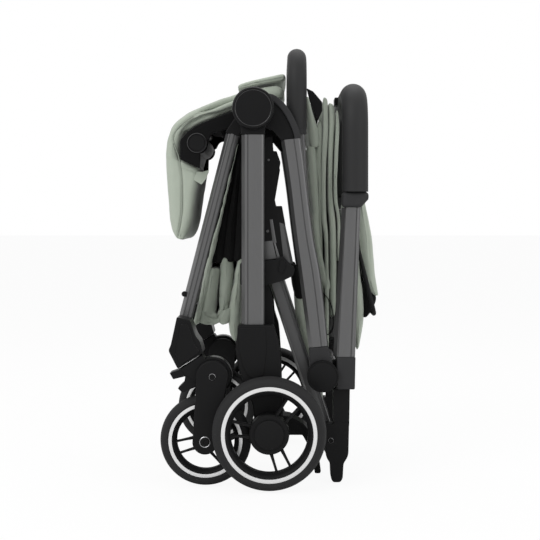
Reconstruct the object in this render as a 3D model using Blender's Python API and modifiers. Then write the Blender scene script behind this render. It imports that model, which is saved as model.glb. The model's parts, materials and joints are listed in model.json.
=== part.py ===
"""Folded pushchair, standing on its wheels and handle feet.

Metres, +Z up. The chair stands folded: the front wheels are at -X, the push handle at +X.
Its left side is at -Y. The origin is on the floor, in the middle of the bounding box.
The rear legs are the fixed frame. Armrests, front legs and seat turn about the hub axis.
"""
import math

import bmesh
import bpy
from mathutils import Matrix, Vector

# Layers across one side, from the seat outwards
FIT_GAP = 0.0003
RUN_GAP = 0.0012
SEAT_HALF_WIDTH = 0.1100
STRUT_THICK = 0.0170
FRONT_LEG_THICK = 0.0160
ARMREST_THICK = 0.0180
REAR_LEG_THICK = 0.0180
HUB_COVER_THICK = 0.0110
WHEEL_SIDE_GAP = 0.0030

STRUT_IN = SEAT_HALF_WIDTH + RUN_GAP
STRUT_OUT = STRUT_IN + STRUT_THICK
FRONT_IN = STRUT_OUT + RUN_GAP
FRONT_OUT = FRONT_IN + FRONT_LEG_THICK
ARMREST_IN = FRONT_OUT + RUN_GAP
ARMREST_OUT = ARMREST_IN + ARMREST_THICK
REAR_LEG_IN = ARMREST_OUT + RUN_GAP
REAR_LEG_OUT = REAR_LEG_IN + REAR_LEG_THICK
HUB_COVER_IN = REAR_LEG_OUT + FIT_GAP
HUB_COVER_OUT = HUB_COVER_IN + HUB_COVER_THICK
REAR_WHEEL_IN = HUB_COVER_OUT + WHEEL_SIDE_GAP

# Plastic parts that reach past their layer
HOUSING_IN = ARMREST_OUT - 0.0075
HOUSING_OUT = HUB_COVER_IN + 0.0075
FOOT_OUT = HUB_COVER_IN + 0.0080

# Pivots of the folding frame, as x and z in the side view
HUB = Vector((-0.0295, 0.5975))
LAP_PIVOT = Vector((0.0807, 0.1721))
STRUT_TOP = Vector((-0.0067, 0.3605))
STRUT_FOOT = Vector((0.0962, 0.0493))
LEGREST_PIVOT = Vector((-0.1234, 0.5475))
CANOPY_PIVOT = Vector((0.1315, 0.4045))

# Shafts
HUB_SHAFT_RADIUS = 0.0060
PIN_RADIUS = 0.0050
AXLE_RADIUS = 0.0050
CROSS_BAR_RADIUS = 0.0080

# Rear wheel, seven inches across
REAR_WHEEL_RADIUS = 0.0890
REAR_WHEEL_WIDTH = 0.0340
REAR_WHEEL_X = -0.0041
REAR_TYRE_DEPTH = 0.0141
REAR_RIM_DEPTH = 0.0128
REAR_HUB_RADIUS = 0.0310
REAR_SPOKE_WIDTH = 0.0045
REAR_SPOKE_TURN = 52

# The two spokes of a pair spread from the hub to the rim
REAR_SPOKE_GAPS = (0.0130, 0.0190)
FRONT_SPOKE_GAPS = (0.0090, 0.0150)

# Front wheel, under six inches across, in a swivelling fork
FRONT_WHEEL_RADIUS = 0.0722
FRONT_WHEEL_WIDTH = 0.0240
FRONT_WHEEL_X = -0.1052
FRONT_TYRE_DEPTH = 0.0128
FRONT_RIM_DEPTH = 0.0115
FRONT_HUB_RADIUS = 0.0170
FRONT_SPOKE_WIDTH = 0.0040
FRONT_SPOKE_TURN = 195
FRONT_WHEEL_MID = REAR_LEG_IN + 0.0073
FORK_ARM_THICK = 0.0100
FORK_SIDE_GAP = 0.0020

# The swivel axis leans with the folded front leg
CROWN_GAP = 0.0045
FORK_CROWN_RADIUS = 0.0255
FORK_CROWN = Vector((-0.0938, 2 * FRONT_WHEEL_RADIUS + CROWN_GAP + FORK_CROWN_RADIUS))
SWIVEL_POINT = FORK_CROWN + Vector((-0.0341, 0.0247))
SWIVEL_TILT = math.radians(-57.3)
SWIVEL_DIRECTION = Vector((math.cos(SWIVEL_TILT), math.sin(SWIVEL_TILT)))
SWIVEL_HEAD_RADIUS = 0.0190
SWIVEL_HEAD_LENGTH = 0.0300
SWIVEL_GAP = 0.0008

# Tube widths in the side view
REAR_LEG_WIDTH = 0.0365
FRONT_LEG_WIDTH = 0.0219
STRUT_WIDTH = 0.0245
TUBE_EDGE = 0.0060
PLASTIC_EDGE = 0.0030

# Handle grip and bumper bar, two padded loops
GRIP_RADIUS = 0.0215
GRIP_X = 0.1332
GRIP_TOP = 0.6472
GRIP_CORNER = 0.0620
BUMPER_RADIUS = 0.0158
BUMPER_X = 0.0407
BUMPER_TOP = 0.7072
BUMPER_FOOT = 0.5600
BUMPER_CORNER = 0.0560
BUMPER_STEM_RADIUS = 0.0060
BUMPER_STEM_SHIFT = 0.0060
BUMPER_STEM_LENGTH = 0.0700
LOOP_TUBE_SIDES = 10
LOOP_TUBE_FLAT = math.cos(math.pi / LOOP_TUBE_SIDES)

# Release button in the grip
BUTTON_LENGTH = 0.0360
BUTTON_HEIGHT = 0.0130
BUTTON_DEPTH = 0.0120
BUTTON_PROUD = 0.0045
BUTTON_GAP = 0.0005

SIDES = (("left", -1), ("right", 1))
CURVE_STEPS = 8
WHEEL_STEPS = 32

for old_object in list(bpy.data.objects):
    bpy.data.objects.remove(old_object, do_unlink=True)


def new_collection(name):
    collection = bpy.data.collections.new(name)
    bpy.context.scene.collection.children.link(collection)
    return collection


PARTS = new_collection("pushchair")
GUIDES = new_collection("cutters")


def material(name, color, roughness, metallic=0.0):
    made = bpy.data.materials.new(name)
    made.use_nodes = True
    shader = made.node_tree.nodes["Principled BSDF"]
    shader.inputs["Base Color"].default_value = (*color, 1.0)
    shader.inputs["Roughness"].default_value = roughness
    shader.inputs["Metallic"].default_value = metallic
    return made


GUNMETAL = material("gunmetal_tube", (0.115, 0.115, 0.115), 0.42, 0.7)
BLACK = material("black_plastic", (0.014, 0.014, 0.015), 0.5)
RUBBER = material("tyre_rubber", (0.03, 0.03, 0.031), 0.85)
LEATHER = material("grip_leatherette", (0.022, 0.022, 0.023), 0.6)
SAGE = material("sage_fabric", (0.34, 0.40, 0.34), 0.9)
MESH_CLOTH = material("black_mesh", (0.012, 0.012, 0.012), 0.9)
STEEL = material("steel", (0.45, 0.45, 0.46), 0.3, 1.0)


# Outline helpers
def arc(center, radius, start_deg, end_deg, steps=CURVE_STEPS):
    points = []
    for step in range(steps + 1):
        angle = math.radians(start_deg + (end_deg - start_deg) * step / steps)
        points.append((center[0] + radius * math.cos(angle), center[1] + radius * math.sin(angle)))
    return points


def circle(center, radius, steps):
    return arc(center, radius, 0, 360 - 360 / steps, steps - 1)


def capsule(start, end, width):
    along = Vector(end) - Vector(start)
    heading = math.degrees(math.atan2(along.y, along.x))
    first = arc(start, width / 2, heading + 90, heading + 270)
    return first + arc(end, width / 2, heading - 90, heading + 90)


def smooth_ring(points, steps=3):
    """A closed Catmull-Rom curve through the points."""
    ring = []
    count = len(points)
    for index in range(count):
        a, b, c, d = (Vector(points[(index + shift) % count]) for shift in (-1, 0, 1, 2))
        for step in range(steps):
            t = step / steps
            ring.append(0.5 * ((2 * b) + (c - a) * t + (2 * a - 5 * b + 4 * c - d) * t * t
                               + (3 * b - a - 3 * c + d) * t * t * t))
    return ring


def rounded_path(points, radius, steps=6):
    """A polyline in space whose inner corners are round."""
    path = [Vector(points[0])]
    for before, corner, after in zip(points, points[1:], points[2:]):
        before, corner, after = Vector(before), Vector(corner), Vector(after)
        start = corner + (before - corner).normalized() * radius
        end = corner + (after - corner).normalized() * radius
        for step in range(steps + 1):
            t = step / steps
            path.append(start * (1 - t) ** 2 + corner * 2 * t * (1 - t) + end * t * t)
    path.append(Vector(points[-1]))
    return path


# Object helpers
def add_object(name, mesh, paint=None, collection=None):
    made = bpy.data.objects.new(name, mesh)
    (collection or PARTS).objects.link(made)
    if paint:
        mesh.materials.clear()
        mesh.materials.append(paint)
    return made


def mesh_from_curve(name, curve_object, paint, flat):
    """The curve's evaluated shape as a welded mesh, in a new object."""
    bpy.context.view_layer.update()
    evaluated = curve_object.evaluated_get(bpy.context.evaluated_depsgraph_get())
    mesh = bpy.data.meshes.new_from_object(evaluated)
    shape = bmesh.new()
    shape.from_mesh(mesh)
    bmesh.ops.remove_doubles(shape, verts=shape.verts, dist=0.00001)
    if flat:
        bmesh.ops.dissolve_limit(shape, angle_limit=0.002, verts=shape.verts, edges=shape.edges)
    bmesh.ops.recalc_face_normals(shape, faces=shape.faces)
    shape.to_mesh(mesh)
    shape.free()
    made = add_object(name, mesh, paint)
    made.matrix_world = curve_object.matrix_world.copy()
    bpy.data.objects.remove(curve_object, do_unlink=True)
    return made


def add_bevel(target, width, segments=2):
    bevel = target.modifiers.new("rounded_edges", "BEVEL")
    bevel.width = width
    bevel.segments = segments
    bevel.limit_method = "ANGLE"
    bevel.angle_limit = math.radians(40)
    bevel.use_clamp_overlap = True


def plate(name, outline, y_in, y_out, side, paint, holes=(), edge=0.0, segments=2):
    """An outline in the side view, with a thickness from y_in out to y_out."""
    curve = bpy.data.curves.new(name, "CURVE")
    curve.dimensions = "2D"
    curve.fill_mode = "BOTH"
    curve.extrude = (y_out - y_in) / 2
    for loop in [outline, *holes]:
        spline = curve.splines.new("POLY")
        spline.points.add(len(loop) - 1)
        for point, (x, z) in zip(spline.points, loop):
            point.co = (x, z, 0, 1)
        spline.use_cyclic_u = True
    drawn = bpy.data.objects.new(name + "_outline", curve)
    GUIDES.objects.link(drawn)
    drawn.rotation_euler = (math.pi / 2, 0, 0)
    drawn.location = (0, side * (y_in + y_out) / 2, 0)
    made = mesh_from_curve(name, drawn, paint, flat=not holes)
    if edge:
        add_bevel(made, edge, segments)
    return made


def loop_tube(name, points, radius, paint):
    curve = bpy.data.curves.new(name, "CURVE")
    curve.dimensions = "3D"
    curve.bevel_depth = radius
    curve.bevel_resolution = (LOOP_TUBE_SIDES - 4) // 2
    curve.use_fill_caps = True
    spline = curve.splines.new("POLY")
    spline.points.add(len(points) - 1)
    for point, place in zip(spline.points, points):
        point.co = (*place, 1)
    drawn = bpy.data.objects.new(name + "_line", curve)
    GUIDES.objects.link(drawn)
    made = mesh_from_curve(name, drawn, paint, flat=False)
    made.data.shade_smooth()
    made.data.set_sharp_from_angle(angle=math.radians(40))
    return made


def rod(name, start, end, radius, paint=None, segments=16, collection=None):
    start, end = Vector(start), Vector(end)
    shape = bmesh.new()
    bmesh.ops.create_cone(shape, cap_ends=True, segments=segments, radius1=radius, radius2=radius,
                          depth=(end - start).length)
    mesh = bpy.data.meshes.new(name)
    shape.to_mesh(mesh)
    shape.free()
    mesh.shade_smooth()
    mesh.set_sharp_from_angle(angle=math.radians(40))
    made = add_object(name, mesh, paint, collection)
    made.rotation_euler = (end - start).to_track_quat("Z", "Y").to_euler()
    made.location = (start + end) / 2
    return made


def block(name, center, size, paint=None, edge=0.0, collection=None):
    shape = bmesh.new()
    bmesh.ops.create_cube(shape, size=1.0)
    bmesh.ops.scale(shape, vec=size, verts=shape.verts)
    mesh = bpy.data.meshes.new(name)
    shape.to_mesh(mesh)
    shape.free()
    made = add_object(name, mesh, paint, collection)
    made.location = center
    if edge:
        add_bevel(made, edge)
    return made


def turned(name, center, profile, side, paint, steps=28, closed=True):
    """A profile of radius and outward y, turned about the line through center along Y."""
    mesh = bpy.data.meshes.new(name)
    shape = bmesh.new()
    corners = [shape.verts.new((radius, 0, y)) for radius, y in profile]
    for first, second in zip(corners, corners[1:]):
        shape.edges.new((first, second))
    if closed:
        shape.edges.new((corners[-1], corners[0]))
    shape.to_mesh(mesh)
    shape.free()
    made = add_object(name, mesh, paint)
    made.location = (center[0], 0, center[1])
    made.rotation_euler = (-side * math.pi / 2, 0, 0)
    screw = made.modifiers.new("turned", "SCREW")
    screw.steps = steps
    screw.render_steps = steps
    screw.use_merge_vertices = True
    screw.merge_threshold = 0.00005
    screw.use_smooth_shade = True
    return made


def join_shapes(target, *others):
    """A Boolean union; the joined shapes become guides."""
    for other in others:
        union = target.modifiers.new("join_" + other.name, "BOOLEAN")
        union.operation = "UNION"
        union.solver = "EXACT"
        union.object = other
        make_guide(other)
    return target


def cut_shape(target, *cutters, solver="EXACT"):
    for cutter in cutters:
        cut = target.modifiers.new("cut_" + cutter.name, "BOOLEAN")
        cut.operation = "DIFFERENCE"
        cut.solver = solver
        cut.object = cutter
        make_guide(cutter)
    return target


def make_guide(shape):
    for collection in list(shape.users_collection):
        collection.objects.unlink(shape)
    GUIDES.objects.link(shape)
    shape.hide_render = True
    shape.display_type = "WIRE"


def bore(target, center, radius, y_in, y_out, side):
    reach = 0.001
    start = (center[0], side * (y_in - reach), center[1])
    end = (center[0], side * (y_out + reach), center[1])
    return cut_shape(target, rod(target.name + "_bore", start, end, radius, collection=GUIDES))


def signed_area(ring):
    return sum(p.x * q.y - q.x * p.y for p, q in zip(ring, ring[1:] + ring[:1])) / 2


def soft_form(name, outline, half_width, paint, swell=0.003, drawn_in=0.010, folds=0, depth=0.0,
              stations=7):
    """A soft body: the side outline carried across the seat, fuller in the middle.

    Its two ends are drawn in, its middle swells, and waves of the given depth run across it.
    """
    ring = smooth_ring(outline)
    if signed_area(ring) < 0:
        ring.reverse()
    shape = bmesh.new()
    rows = []
    for station in range(stations):
        across = -1 + 2 * station / (stations - 1)
        wave = depth * math.cos(math.pi * folds * across)
        size = swell * (1 - across ** 2) - drawn_in * abs(across) ** 6 + wave
        row = []
        for index, point in enumerate(ring):
            tangent = ring[(index + 1) % len(ring)] - ring[index - 1]
            outward = Vector((tangent.y, -tangent.x)).normalized()
            place = point + outward * size
            row.append(shape.verts.new((place.x, across * half_width, place.y)))
        rows.append(row)
    for row, following in zip(rows, rows[1:]):
        for index in range(len(row)):
            after = (index + 1) % len(row)
            shape.faces.new((row[after], row[index], following[index], following[after]))
    shape.faces.new(rows[0])
    shape.faces.new(list(reversed(rows[-1])))
    mesh = bpy.data.meshes.new(name)
    shape.to_mesh(mesh)
    shape.free()
    mesh.shade_smooth()
    return add_object(name, mesh, paint)


# Fixed frame: rear legs, hubs, axle, strut brackets and brake
REAR_LEG_LEFT_EDGE = -0.0484
REAR_LEG_TOP = 0.5562
REAR_LEG_BOTTOM = 0.2556
HUB_COVER_RADIUS = 0.0334
HUB_RING_RADIUS = 0.0294
HUB_SOCKET_RADIUS = 0.0320
HOUSING_TOP_LEFT = -0.0540
HOUSING_TOP_RIGHT = 0.0026
BAND_INSET = 0.0010
PEDAL_IN = 0.0550
PEDAL_OUT = 0.1050
PEDAL_BOSS_RADIUS = 0.0160


def rear_leg(label, side):
    left = REAR_LEG_LEFT_EDGE
    right = left + REAR_LEG_WIDTH
    outline = [(left, REAR_LEG_BOTTOM), (right, REAR_LEG_BOTTOM), (right, REAR_LEG_TOP), (left, REAR_LEG_TOP)]
    leg = plate("rear_leg_" + label, outline, REAR_LEG_IN, REAR_LEG_OUT, side, GUNMETAL)
    add_bevel(leg, TUBE_EDGE, 2)

    top = REAR_LEG_TOP + FIT_GAP
    collar = [(left - 0.0005, top), (right + 0.0005, top)]
    around = arc(HUB, HUB_SOCKET_RADIUS, -55, 235, 24)
    plate("hub_socket_" + label, collar + around, REAR_LEG_IN, REAR_LEG_OUT, side, BLACK, edge=0.0015,
          segments=1)

    y_in = HUB_COVER_IN
    y_out = HUB_COVER_OUT
    edge = 0.0025
    profile = [(0, y_out - 0.0010), (HUB_RING_RADIUS, y_out - 0.0010), (HUB_RING_RADIUS + 0.0006, y_out),
               (HUB_COVER_RADIUS - edge, y_out), (HUB_COVER_RADIUS, y_out - edge), (HUB_COVER_RADIUS, y_in),
               (0, y_in)]
    turned("hub_cover_" + label, HUB, profile, side, BLACK, closed=False)


def rear_housing(label, side):
    axle = (REAR_WHEEL_X, REAR_WHEEL_RADIUS)
    top = REAR_LEG_BOTTOM - FIT_GAP
    outline = [(HOUSING_TOP_LEFT, top), (-0.0572, 0.2222), (-0.0477, 0.1713), (-0.0340, 0.1400)]
    outline += arc(axle, 0.0225, 170, 370)
    outline += [(0.0160, 0.1700), (0.0118, 0.2222), (HOUSING_TOP_RIGHT, top)]
    housing = plate("rear_housing_" + label, outline, HOUSING_IN, HOUSING_OUT, side, BLACK,
                    edge=PLASTIC_EDGE)
    bore(housing, axle, AXLE_RADIUS + FIT_GAP, HOUSING_IN, HOUSING_OUT, side)


def strut_bracket(label, side):
    """A flat band behind the rear leg, and the clamp with the pin that the strut turns on."""
    band = [(-0.0400, 0.3500), (-0.0400, 0.5500), (0.0010, 0.5560), (0.0020, 0.5324), (0.0073, 0.5324),
            (0.0137, 0.5142), (0.0039, 0.4568), (0.0067, 0.4435), (0.0161, 0.4438), (0.0217, 0.4129),
            (0.0330, 0.3500)]
    clamp = [(-0.0440, 0.3320), (-0.0440, 0.3860), (0.0060, 0.3860), (0.0161, 0.3616), (0.0366, 0.3429),
             (0.0337, 0.3318), (0.0189, 0.3244), (-0.0138, 0.3153), (-0.0180, 0.3188)]
    bracket = plate("strut_bracket_" + label, clamp, FRONT_IN, REAR_LEG_IN - FIT_GAP, side, BLACK, edge=0.002)
    sheet = plate("frame_band_" + label, band, FRONT_IN + BAND_INSET, FRONT_OUT - BAND_INSET, side, BLACK)
    start = (STRUT_TOP.x, side * (STRUT_IN + FIT_GAP), STRUT_TOP.y)
    end = (STRUT_TOP.x, side * (FRONT_IN + 0.006), STRUT_TOP.y)
    join_shapes(bracket, sheet, rod("strut_pin_" + label, start, end, PIN_RADIUS, BLACK))


def fixed_frame():
    for label, side in SIDES:
        rear_leg(label, side)
        rear_housing(label, side)
        strut_bracket(label, side)
    reach = REAR_LEG_IN - FIT_GAP
    rod("hub_shaft", (HUB.x, -reach, HUB.y), (HUB.x, reach, HUB.y), HUB_SHAFT_RADIUS, STEEL)
    reach = REAR_WHEEL_IN + REAR_WHEEL_WIDTH - 0.0070
    z = REAR_WHEEL_RADIUS
    rod("rear_axle", (REAR_WHEEL_X, -reach, z), (REAR_WHEEL_X, reach, z), AXLE_RADIUS, STEEL)


def brake_pedal():
    """A pedal that turns on the rear axle, near the left wheel, and curves down to the floor."""
    axle = (REAR_WHEEL_X, REAR_WHEEL_RADIUS)
    upper = [(0.0299, 0.0966), (0.0517, 0.0848), (0.0668, 0.0680), (0.0769, 0.0344), (0.0803, 0.0075)]
    lower = [(0.0794, 0.0030), (0.0702, 0.0030), (0.0685, 0.0260), (0.0584, 0.0512), (0.0500, 0.0663),
             (0.0299, 0.0663)]
    outline = arc(axle, PEDAL_BOSS_RADIUS, 315, 45, 14) + upper + lower
    pedal = plate("brake_pedal", outline, PEDAL_IN, PEDAL_OUT, -1, BLACK, edge=0.002)
    bore(pedal, axle, AXLE_RADIUS + FIT_GAP, PEDAL_IN, PEDAL_OUT, -1)


# Wheels
def wheel(end_name, label, side, axle, y_in, width, tyre_radius, tyre_depth, rim_depth, hub_radius,
          spoke_width, spoke_gaps, turn, cap):
    """A tyre, and a rim of one body: barrel, three pairs of thin spokes and a hub."""
    y_out = y_in + width
    shoulder = width * 0.24
    seat = tyre_radius - tyre_depth
    wall = tyre_radius - tyre_depth * 0.45
    tread = [(wall, y_out - shoulder * 0.3), (tyre_radius, y_out - shoulder), (tyre_radius, y_in + shoulder),
             (wall, y_in + shoulder * 0.3)]
    profile = [(seat, y_out), *tread, (seat, y_in)]
    turned("%s_tyre_%s" % (end_name, label), axle, profile, side, RUBBER, steps=WHEEL_STEPS)

    barrel_out = seat - FIT_GAP
    barrel_in = barrel_out - rim_depth
    lip = 0.0015
    slope = rim_depth * 0.4
    profile = [(barrel_in, y_out - 0.0050), (barrel_in + slope, y_out - lip), (barrel_out, y_out - lip),
               (barrel_out, y_in + lip), (barrel_in + slope, y_in + lip), (barrel_in, y_in + 0.0050)]
    rim = turned("%s_rim_%s" % (end_name, label), axle, profile, side, BLACK, steps=WHEEL_STEPS)

    middle = (y_in + y_out) / 2
    spider_in = middle - width * 0.16
    spider_out = middle + width * 0.22
    windows = []
    reach = barrel_in - 0.0012
    start = hub_radius - 0.0030
    near, far = (gap / 2 for gap in spoke_gaps)
    for third in range(3):
        heading = turn + 120 * third
        windows.append(slot_outline(axle, heading, start, reach, near, far))
        windows.append(window_outline(axle, heading, start, reach, near + spoke_width, far + spoke_width))
    spider = plate("%s_spider_%s" % (end_name, label), circle(axle, barrel_in + 0.0040, WHEEL_STEPS),
                   spider_in, spider_out, side, BLACK, holes=windows)
    hub_in = y_in + 0.0030
    hub_out = y_out - 0.0040
    bore_radius = AXLE_RADIUS + FIT_GAP
    if cap:
        bore_end = y_out - 0.0065
        hub = [(0, y_out + 0.0005), (hub_radius * 0.70, y_out + 0.0005), (hub_radius * 0.75, y_out - 0.0010),
               (hub_radius * 0.75, hub_out), (hub_radius, hub_out - 0.0015), (hub_radius, hub_in),
               (bore_radius, hub_in), (bore_radius, bore_end), (0, bore_end)]
        core = turned("%s_hub_%s" % (end_name, label), axle, hub, side, BLACK, closed=False)
    else:
        hub = [(bore_radius, hub_out), (hub_radius * 0.9, hub_out), (hub_radius, hub_out - 0.0015),
               (hub_radius, hub_in), (bore_radius, hub_in)]
        core = turned("%s_hub_%s" % (end_name, label), axle, hub, side, BLACK)
    bore(spider, axle, hub_radius * 0.6, spider_in, spider_out, side)
    join_shapes(rim, spider, core)


def slot_outline(center, heading, start, reach, near, far):
    """The opening between the two spokes of a pair, near and far being its half widths."""
    along = Vector((math.cos(math.radians(heading)), math.sin(math.radians(heading))))
    across = Vector((-along.y, along.x))
    corners = [along * start - across * near, along * reach - across * far,
               along * reach + across * far, along * start + across * near]
    return [(center[0] + corner.x, center[1] + corner.y) for corner in corners]


def window_outline(center, heading, start, reach, near, far):
    """The wide opening from one pair of spokes to the next."""
    outer = math.degrees(math.asin(far / reach))
    inner = math.degrees(math.asin(near / start))
    rim_side = arc(center, reach, heading + outer, heading + 120 - outer, 9)
    return rim_side + arc(center, start, heading + 120 - inner, heading + inner, 3)


def wheels():
    for label, side in SIDES:
        wheel("rear", label, side, (REAR_WHEEL_X, REAR_WHEEL_RADIUS), REAR_WHEEL_IN, REAR_WHEEL_WIDTH,
              REAR_WHEEL_RADIUS, REAR_TYRE_DEPTH, REAR_RIM_DEPTH, REAR_HUB_RADIUS, REAR_SPOKE_WIDTH,
              REAR_SPOKE_GAPS, REAR_SPOKE_TURN, True)
        y_in = FRONT_WHEEL_MID - FRONT_WHEEL_WIDTH / 2
        wheel("front", label, side, (FRONT_WHEEL_X, FRONT_WHEEL_RADIUS), y_in, FRONT_WHEEL_WIDTH,
              FRONT_WHEEL_RADIUS, FRONT_TYRE_DEPTH, FRONT_RIM_DEPTH, FRONT_HUB_RADIUS, FRONT_SPOKE_WIDTH,
              FRONT_SPOKE_GAPS, FRONT_SPOKE_TURN, False)


# Armrest links, which carry the bumper bar
ARMREST_TOP_LEFT = Vector((0.0144, 0.5486))
ARMREST_TOP_RIGHT = Vector((0.0463, 0.5520))
ARMREST_BOTTOM_LEFT = Vector((0.0590, 0.2168))
ARMREST_BOTTOM_RIGHT = Vector((0.0902, 0.2200))
ARMREST_END_RADIUS = 0.0215
LAP_PIN_RADIUS = 0.0060
LAP_CAP_RADIUS = 0.0252
LAP_CAP_THICK = 0.0120


def armrest(label, side):
    left_edge = [(0.0246, 0.4800), (0.0335, 0.4066), (0.0444, 0.3269)]
    right_edge = [(0.0788, 0.3269), (0.0654, 0.4003), (0.0527, 0.5056)]
    outline = [ARMREST_TOP_LEFT, *left_edge, ARMREST_BOTTOM_LEFT, ARMREST_BOTTOM_RIGHT, *right_edge,
               ARMREST_TOP_RIGHT]
    tube = plate("armrest_tube_" + label, outline, ARMREST_IN, ARMREST_OUT, side, GUNMETAL)
    add_bevel(tube, TUBE_EDGE, 2)

    lift = Vector((0, FIT_GAP))
    outline = [ARMREST_TOP_LEFT + lift, ARMREST_TOP_RIGHT + lift, (0.0414, 0.5640), (0.0319, 0.5900),
               (0.0191, 0.6090), (0.0048, 0.6205)]
    outline += arc(HUB, 0.0290, 40, 290, 16)
    outline += [(0.0000, 0.5657)]
    elbow = plate("armrest_elbow_" + label, outline, ARMREST_IN, ARMREST_OUT, side, BLACK, edge=PLASTIC_EDGE)
    bore(elbow, HUB, HUB_SHAFT_RADIUS + FIT_GAP, ARMREST_IN, ARMREST_OUT, side)

    outline = [ARMREST_BOTTOM_RIGHT - lift, ARMREST_BOTTOM_LEFT - lift]
    outline += arc(LAP_PIVOT, ARMREST_END_RADIUS, 165, 390, 18)
    end = plate("armrest_end_" + label, outline, ARMREST_IN, ARMREST_OUT, side, BLACK, edge=0.0015,
                segments=1)
    bore(end, LAP_PIVOT, LAP_PIN_RADIUS + FIT_GAP, ARMREST_IN, ARMREST_OUT, side)

    y_in = ARMREST_OUT + FIT_GAP
    y_out = y_in + LAP_CAP_THICK
    edge = 0.0020
    profile = [(0, y_out), (LAP_CAP_RADIUS - edge, y_out), (LAP_CAP_RADIUS, y_out - edge),
               (LAP_CAP_RADIUS, y_in), (0, y_in)]
    turned("lap_cap_" + label, LAP_PIVOT, profile, side, BLACK, closed=False)


def bumper_bar():
    """A padded loop whose stems stand against the elbows' inner faces."""
    y = ARMREST_IN - FIT_GAP - BUMPER_RADIUS * LOOP_TUBE_FLAT
    top = BUMPER_TOP - BUMPER_RADIUS
    foot = BUMPER_FOOT
    points = [(BUMPER_X, -y, foot), (BUMPER_X, -y, top), (BUMPER_X, y, top), (BUMPER_X, y, foot)]
    bar = loop_tube("bumper_bar", rounded_path(points, BUMPER_CORNER), BUMPER_RADIUS, LEATHER)
    for label, side in SIDES:
        start = (BUMPER_X + BUMPER_STEM_SHIFT, side * y, foot - BUMPER_STEM_LENGTH)
        end = (BUMPER_X + BUMPER_STEM_SHIFT, side * y, foot + BUMPER_RADIUS)
        join_shapes(bar, rod("bumper_stem_" + label, start, end, BUMPER_STEM_RADIUS, BLACK))


# Push handle: tubes, grip, lap joints and the lower arms with their feet
HANDLE_TOP = 0.4409
HANDLE_TOP_LEFT = 0.1117
HANDLE_TOP_RIGHT = 0.1420
HANDLE_BOTTOM = 0.2024
HANDLE_BOTTOM_LEFT = 0.0981
HANDLE_BOTTOM_RIGHT = 0.1332
COLLAR_HEIGHT = 0.0250
LAP_BLOCK_LEFT = 0.1037
LAP_BLOCK_BOTTOM = 0.1500
ARM_OUT = ARMREST_IN + 0.0100
COLLAR_PROUD = 0.0050
TONGUE_RADIUS = 0.0190
HANDLE_BAR = Vector((0.1024, 0.1760))


def handle_side(label, side):
    outline = [(HANDLE_BOTTOM_LEFT, HANDLE_BOTTOM), (HANDLE_BOTTOM_RIGHT, HANDLE_BOTTOM),
               (HANDLE_TOP_RIGHT, HANDLE_TOP), (HANDLE_TOP_LEFT, HANDLE_TOP)]
    tube = plate("handle_tube_" + label, outline, ARMREST_IN, ARMREST_OUT, side, GUNMETAL)
    add_bevel(tube, TUBE_EDGE, 2)

    low = HANDLE_TOP + FIT_GAP
    high = low + COLLAR_HEIGHT
    outline = [(HANDLE_TOP_LEFT, low), (HANDLE_TOP_RIGHT, low), (GRIP_X + GRIP_RADIUS, high),
               (GRIP_X - GRIP_RADIUS, high)]
    plate("handle_collar_" + label, outline, ARMREST_IN - COLLAR_PROUD, ARMREST_OUT + COLLAR_PROUD, side,
          BLACK, edge=0.0050)

    top = HANDLE_BOTTOM - FIT_GAP
    outline = [(LAP_BLOCK_LEFT, top), (HANDLE_BOTTOM_RIGHT, top), (0.1325, LAP_BLOCK_BOTTOM),
               (LAP_BLOCK_LEFT, LAP_BLOCK_BOTTOM)]
    joint = plate("handle_joint_" + label, outline, FRONT_IN + 0.0100, ARMREST_OUT, side, BLACK,
                  edge=PLASTIC_EDGE)
    outline = arc(LAP_PIVOT, TONGUE_RADIUS, 80, 280, 14)
    outline += [(0.1290, LAP_BLOCK_BOTTOM + 0.0010), (0.1290, top - 0.0010)]
    tongue = plate("lap_tongue_" + label, outline, FRONT_IN, FRONT_OUT, side, BLACK)
    start = (LAP_PIVOT.x, side * (FRONT_IN + 0.0050), LAP_PIVOT.y)
    end = (LAP_PIVOT.x, side * ARMREST_OUT, LAP_PIVOT.y)
    join_shapes(joint, tongue, rod("lap_pin_" + label, start, end, LAP_PIN_RADIUS, STEEL))

    top = LAP_BLOCK_BOTTOM - FIT_GAP
    outline = [(0.0975, top), (0.1250, top), (0.1237, 0.0938), (0.1228, 0.0400), (0.1150, 0.0268),
               (0.1132, 0.0040), (0.1100, 0.0000), (0.0972, 0.0000), (0.0941, 0.0040), (0.0930, 0.0268),
               (0.0860, 0.0400), (0.0860, 0.0930), (0.0975, 0.0950)]
    plate("handle_arm_" + label, outline, FRONT_IN, ARM_OUT, side, BLACK, edge=0.0020)


def handle_grip():
    y = (ARMREST_IN + ARMREST_OUT) / 2
    top = GRIP_TOP - GRIP_RADIUS
    foot = HANDLE_TOP + COLLAR_HEIGHT + 2 * FIT_GAP
    points = [(GRIP_X, -y, foot), (GRIP_X, -y, top), (GRIP_X, y, top), (GRIP_X, y, foot)]
    grip = loop_tube("handle_grip", rounded_path(points, GRIP_CORNER), GRIP_RADIUS, LEATHER)
    face = GRIP_X - GRIP_RADIUS
    gap = 2 * BUTTON_GAP
    pocket = block("button_pocket", (face - BUTTON_PROUD + BUTTON_DEPTH / 2 + 0.0030, 0, top),
                   (BUTTON_DEPTH + 0.0060, BUTTON_LENGTH + gap, BUTTON_HEIGHT + gap), collection=GUIDES)
    cut_shape(grip, pocket)
    block("release_button", (face - BUTTON_PROUD + BUTTON_DEPTH / 2, 0, top),
          (BUTTON_DEPTH, BUTTON_LENGTH, BUTTON_HEIGHT), BLACK, edge=0.0015)

    reach = FRONT_IN - FIT_GAP
    x, z = HANDLE_BAR
    rod("handle_cross_bar", (x, -reach, z), (x, reach, z), CROSS_BAR_RADIUS, GUNMETAL)


# Struts between the rear legs and the handle arms
STRUT_BAR_DISTANCE = 0.1200


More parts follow.
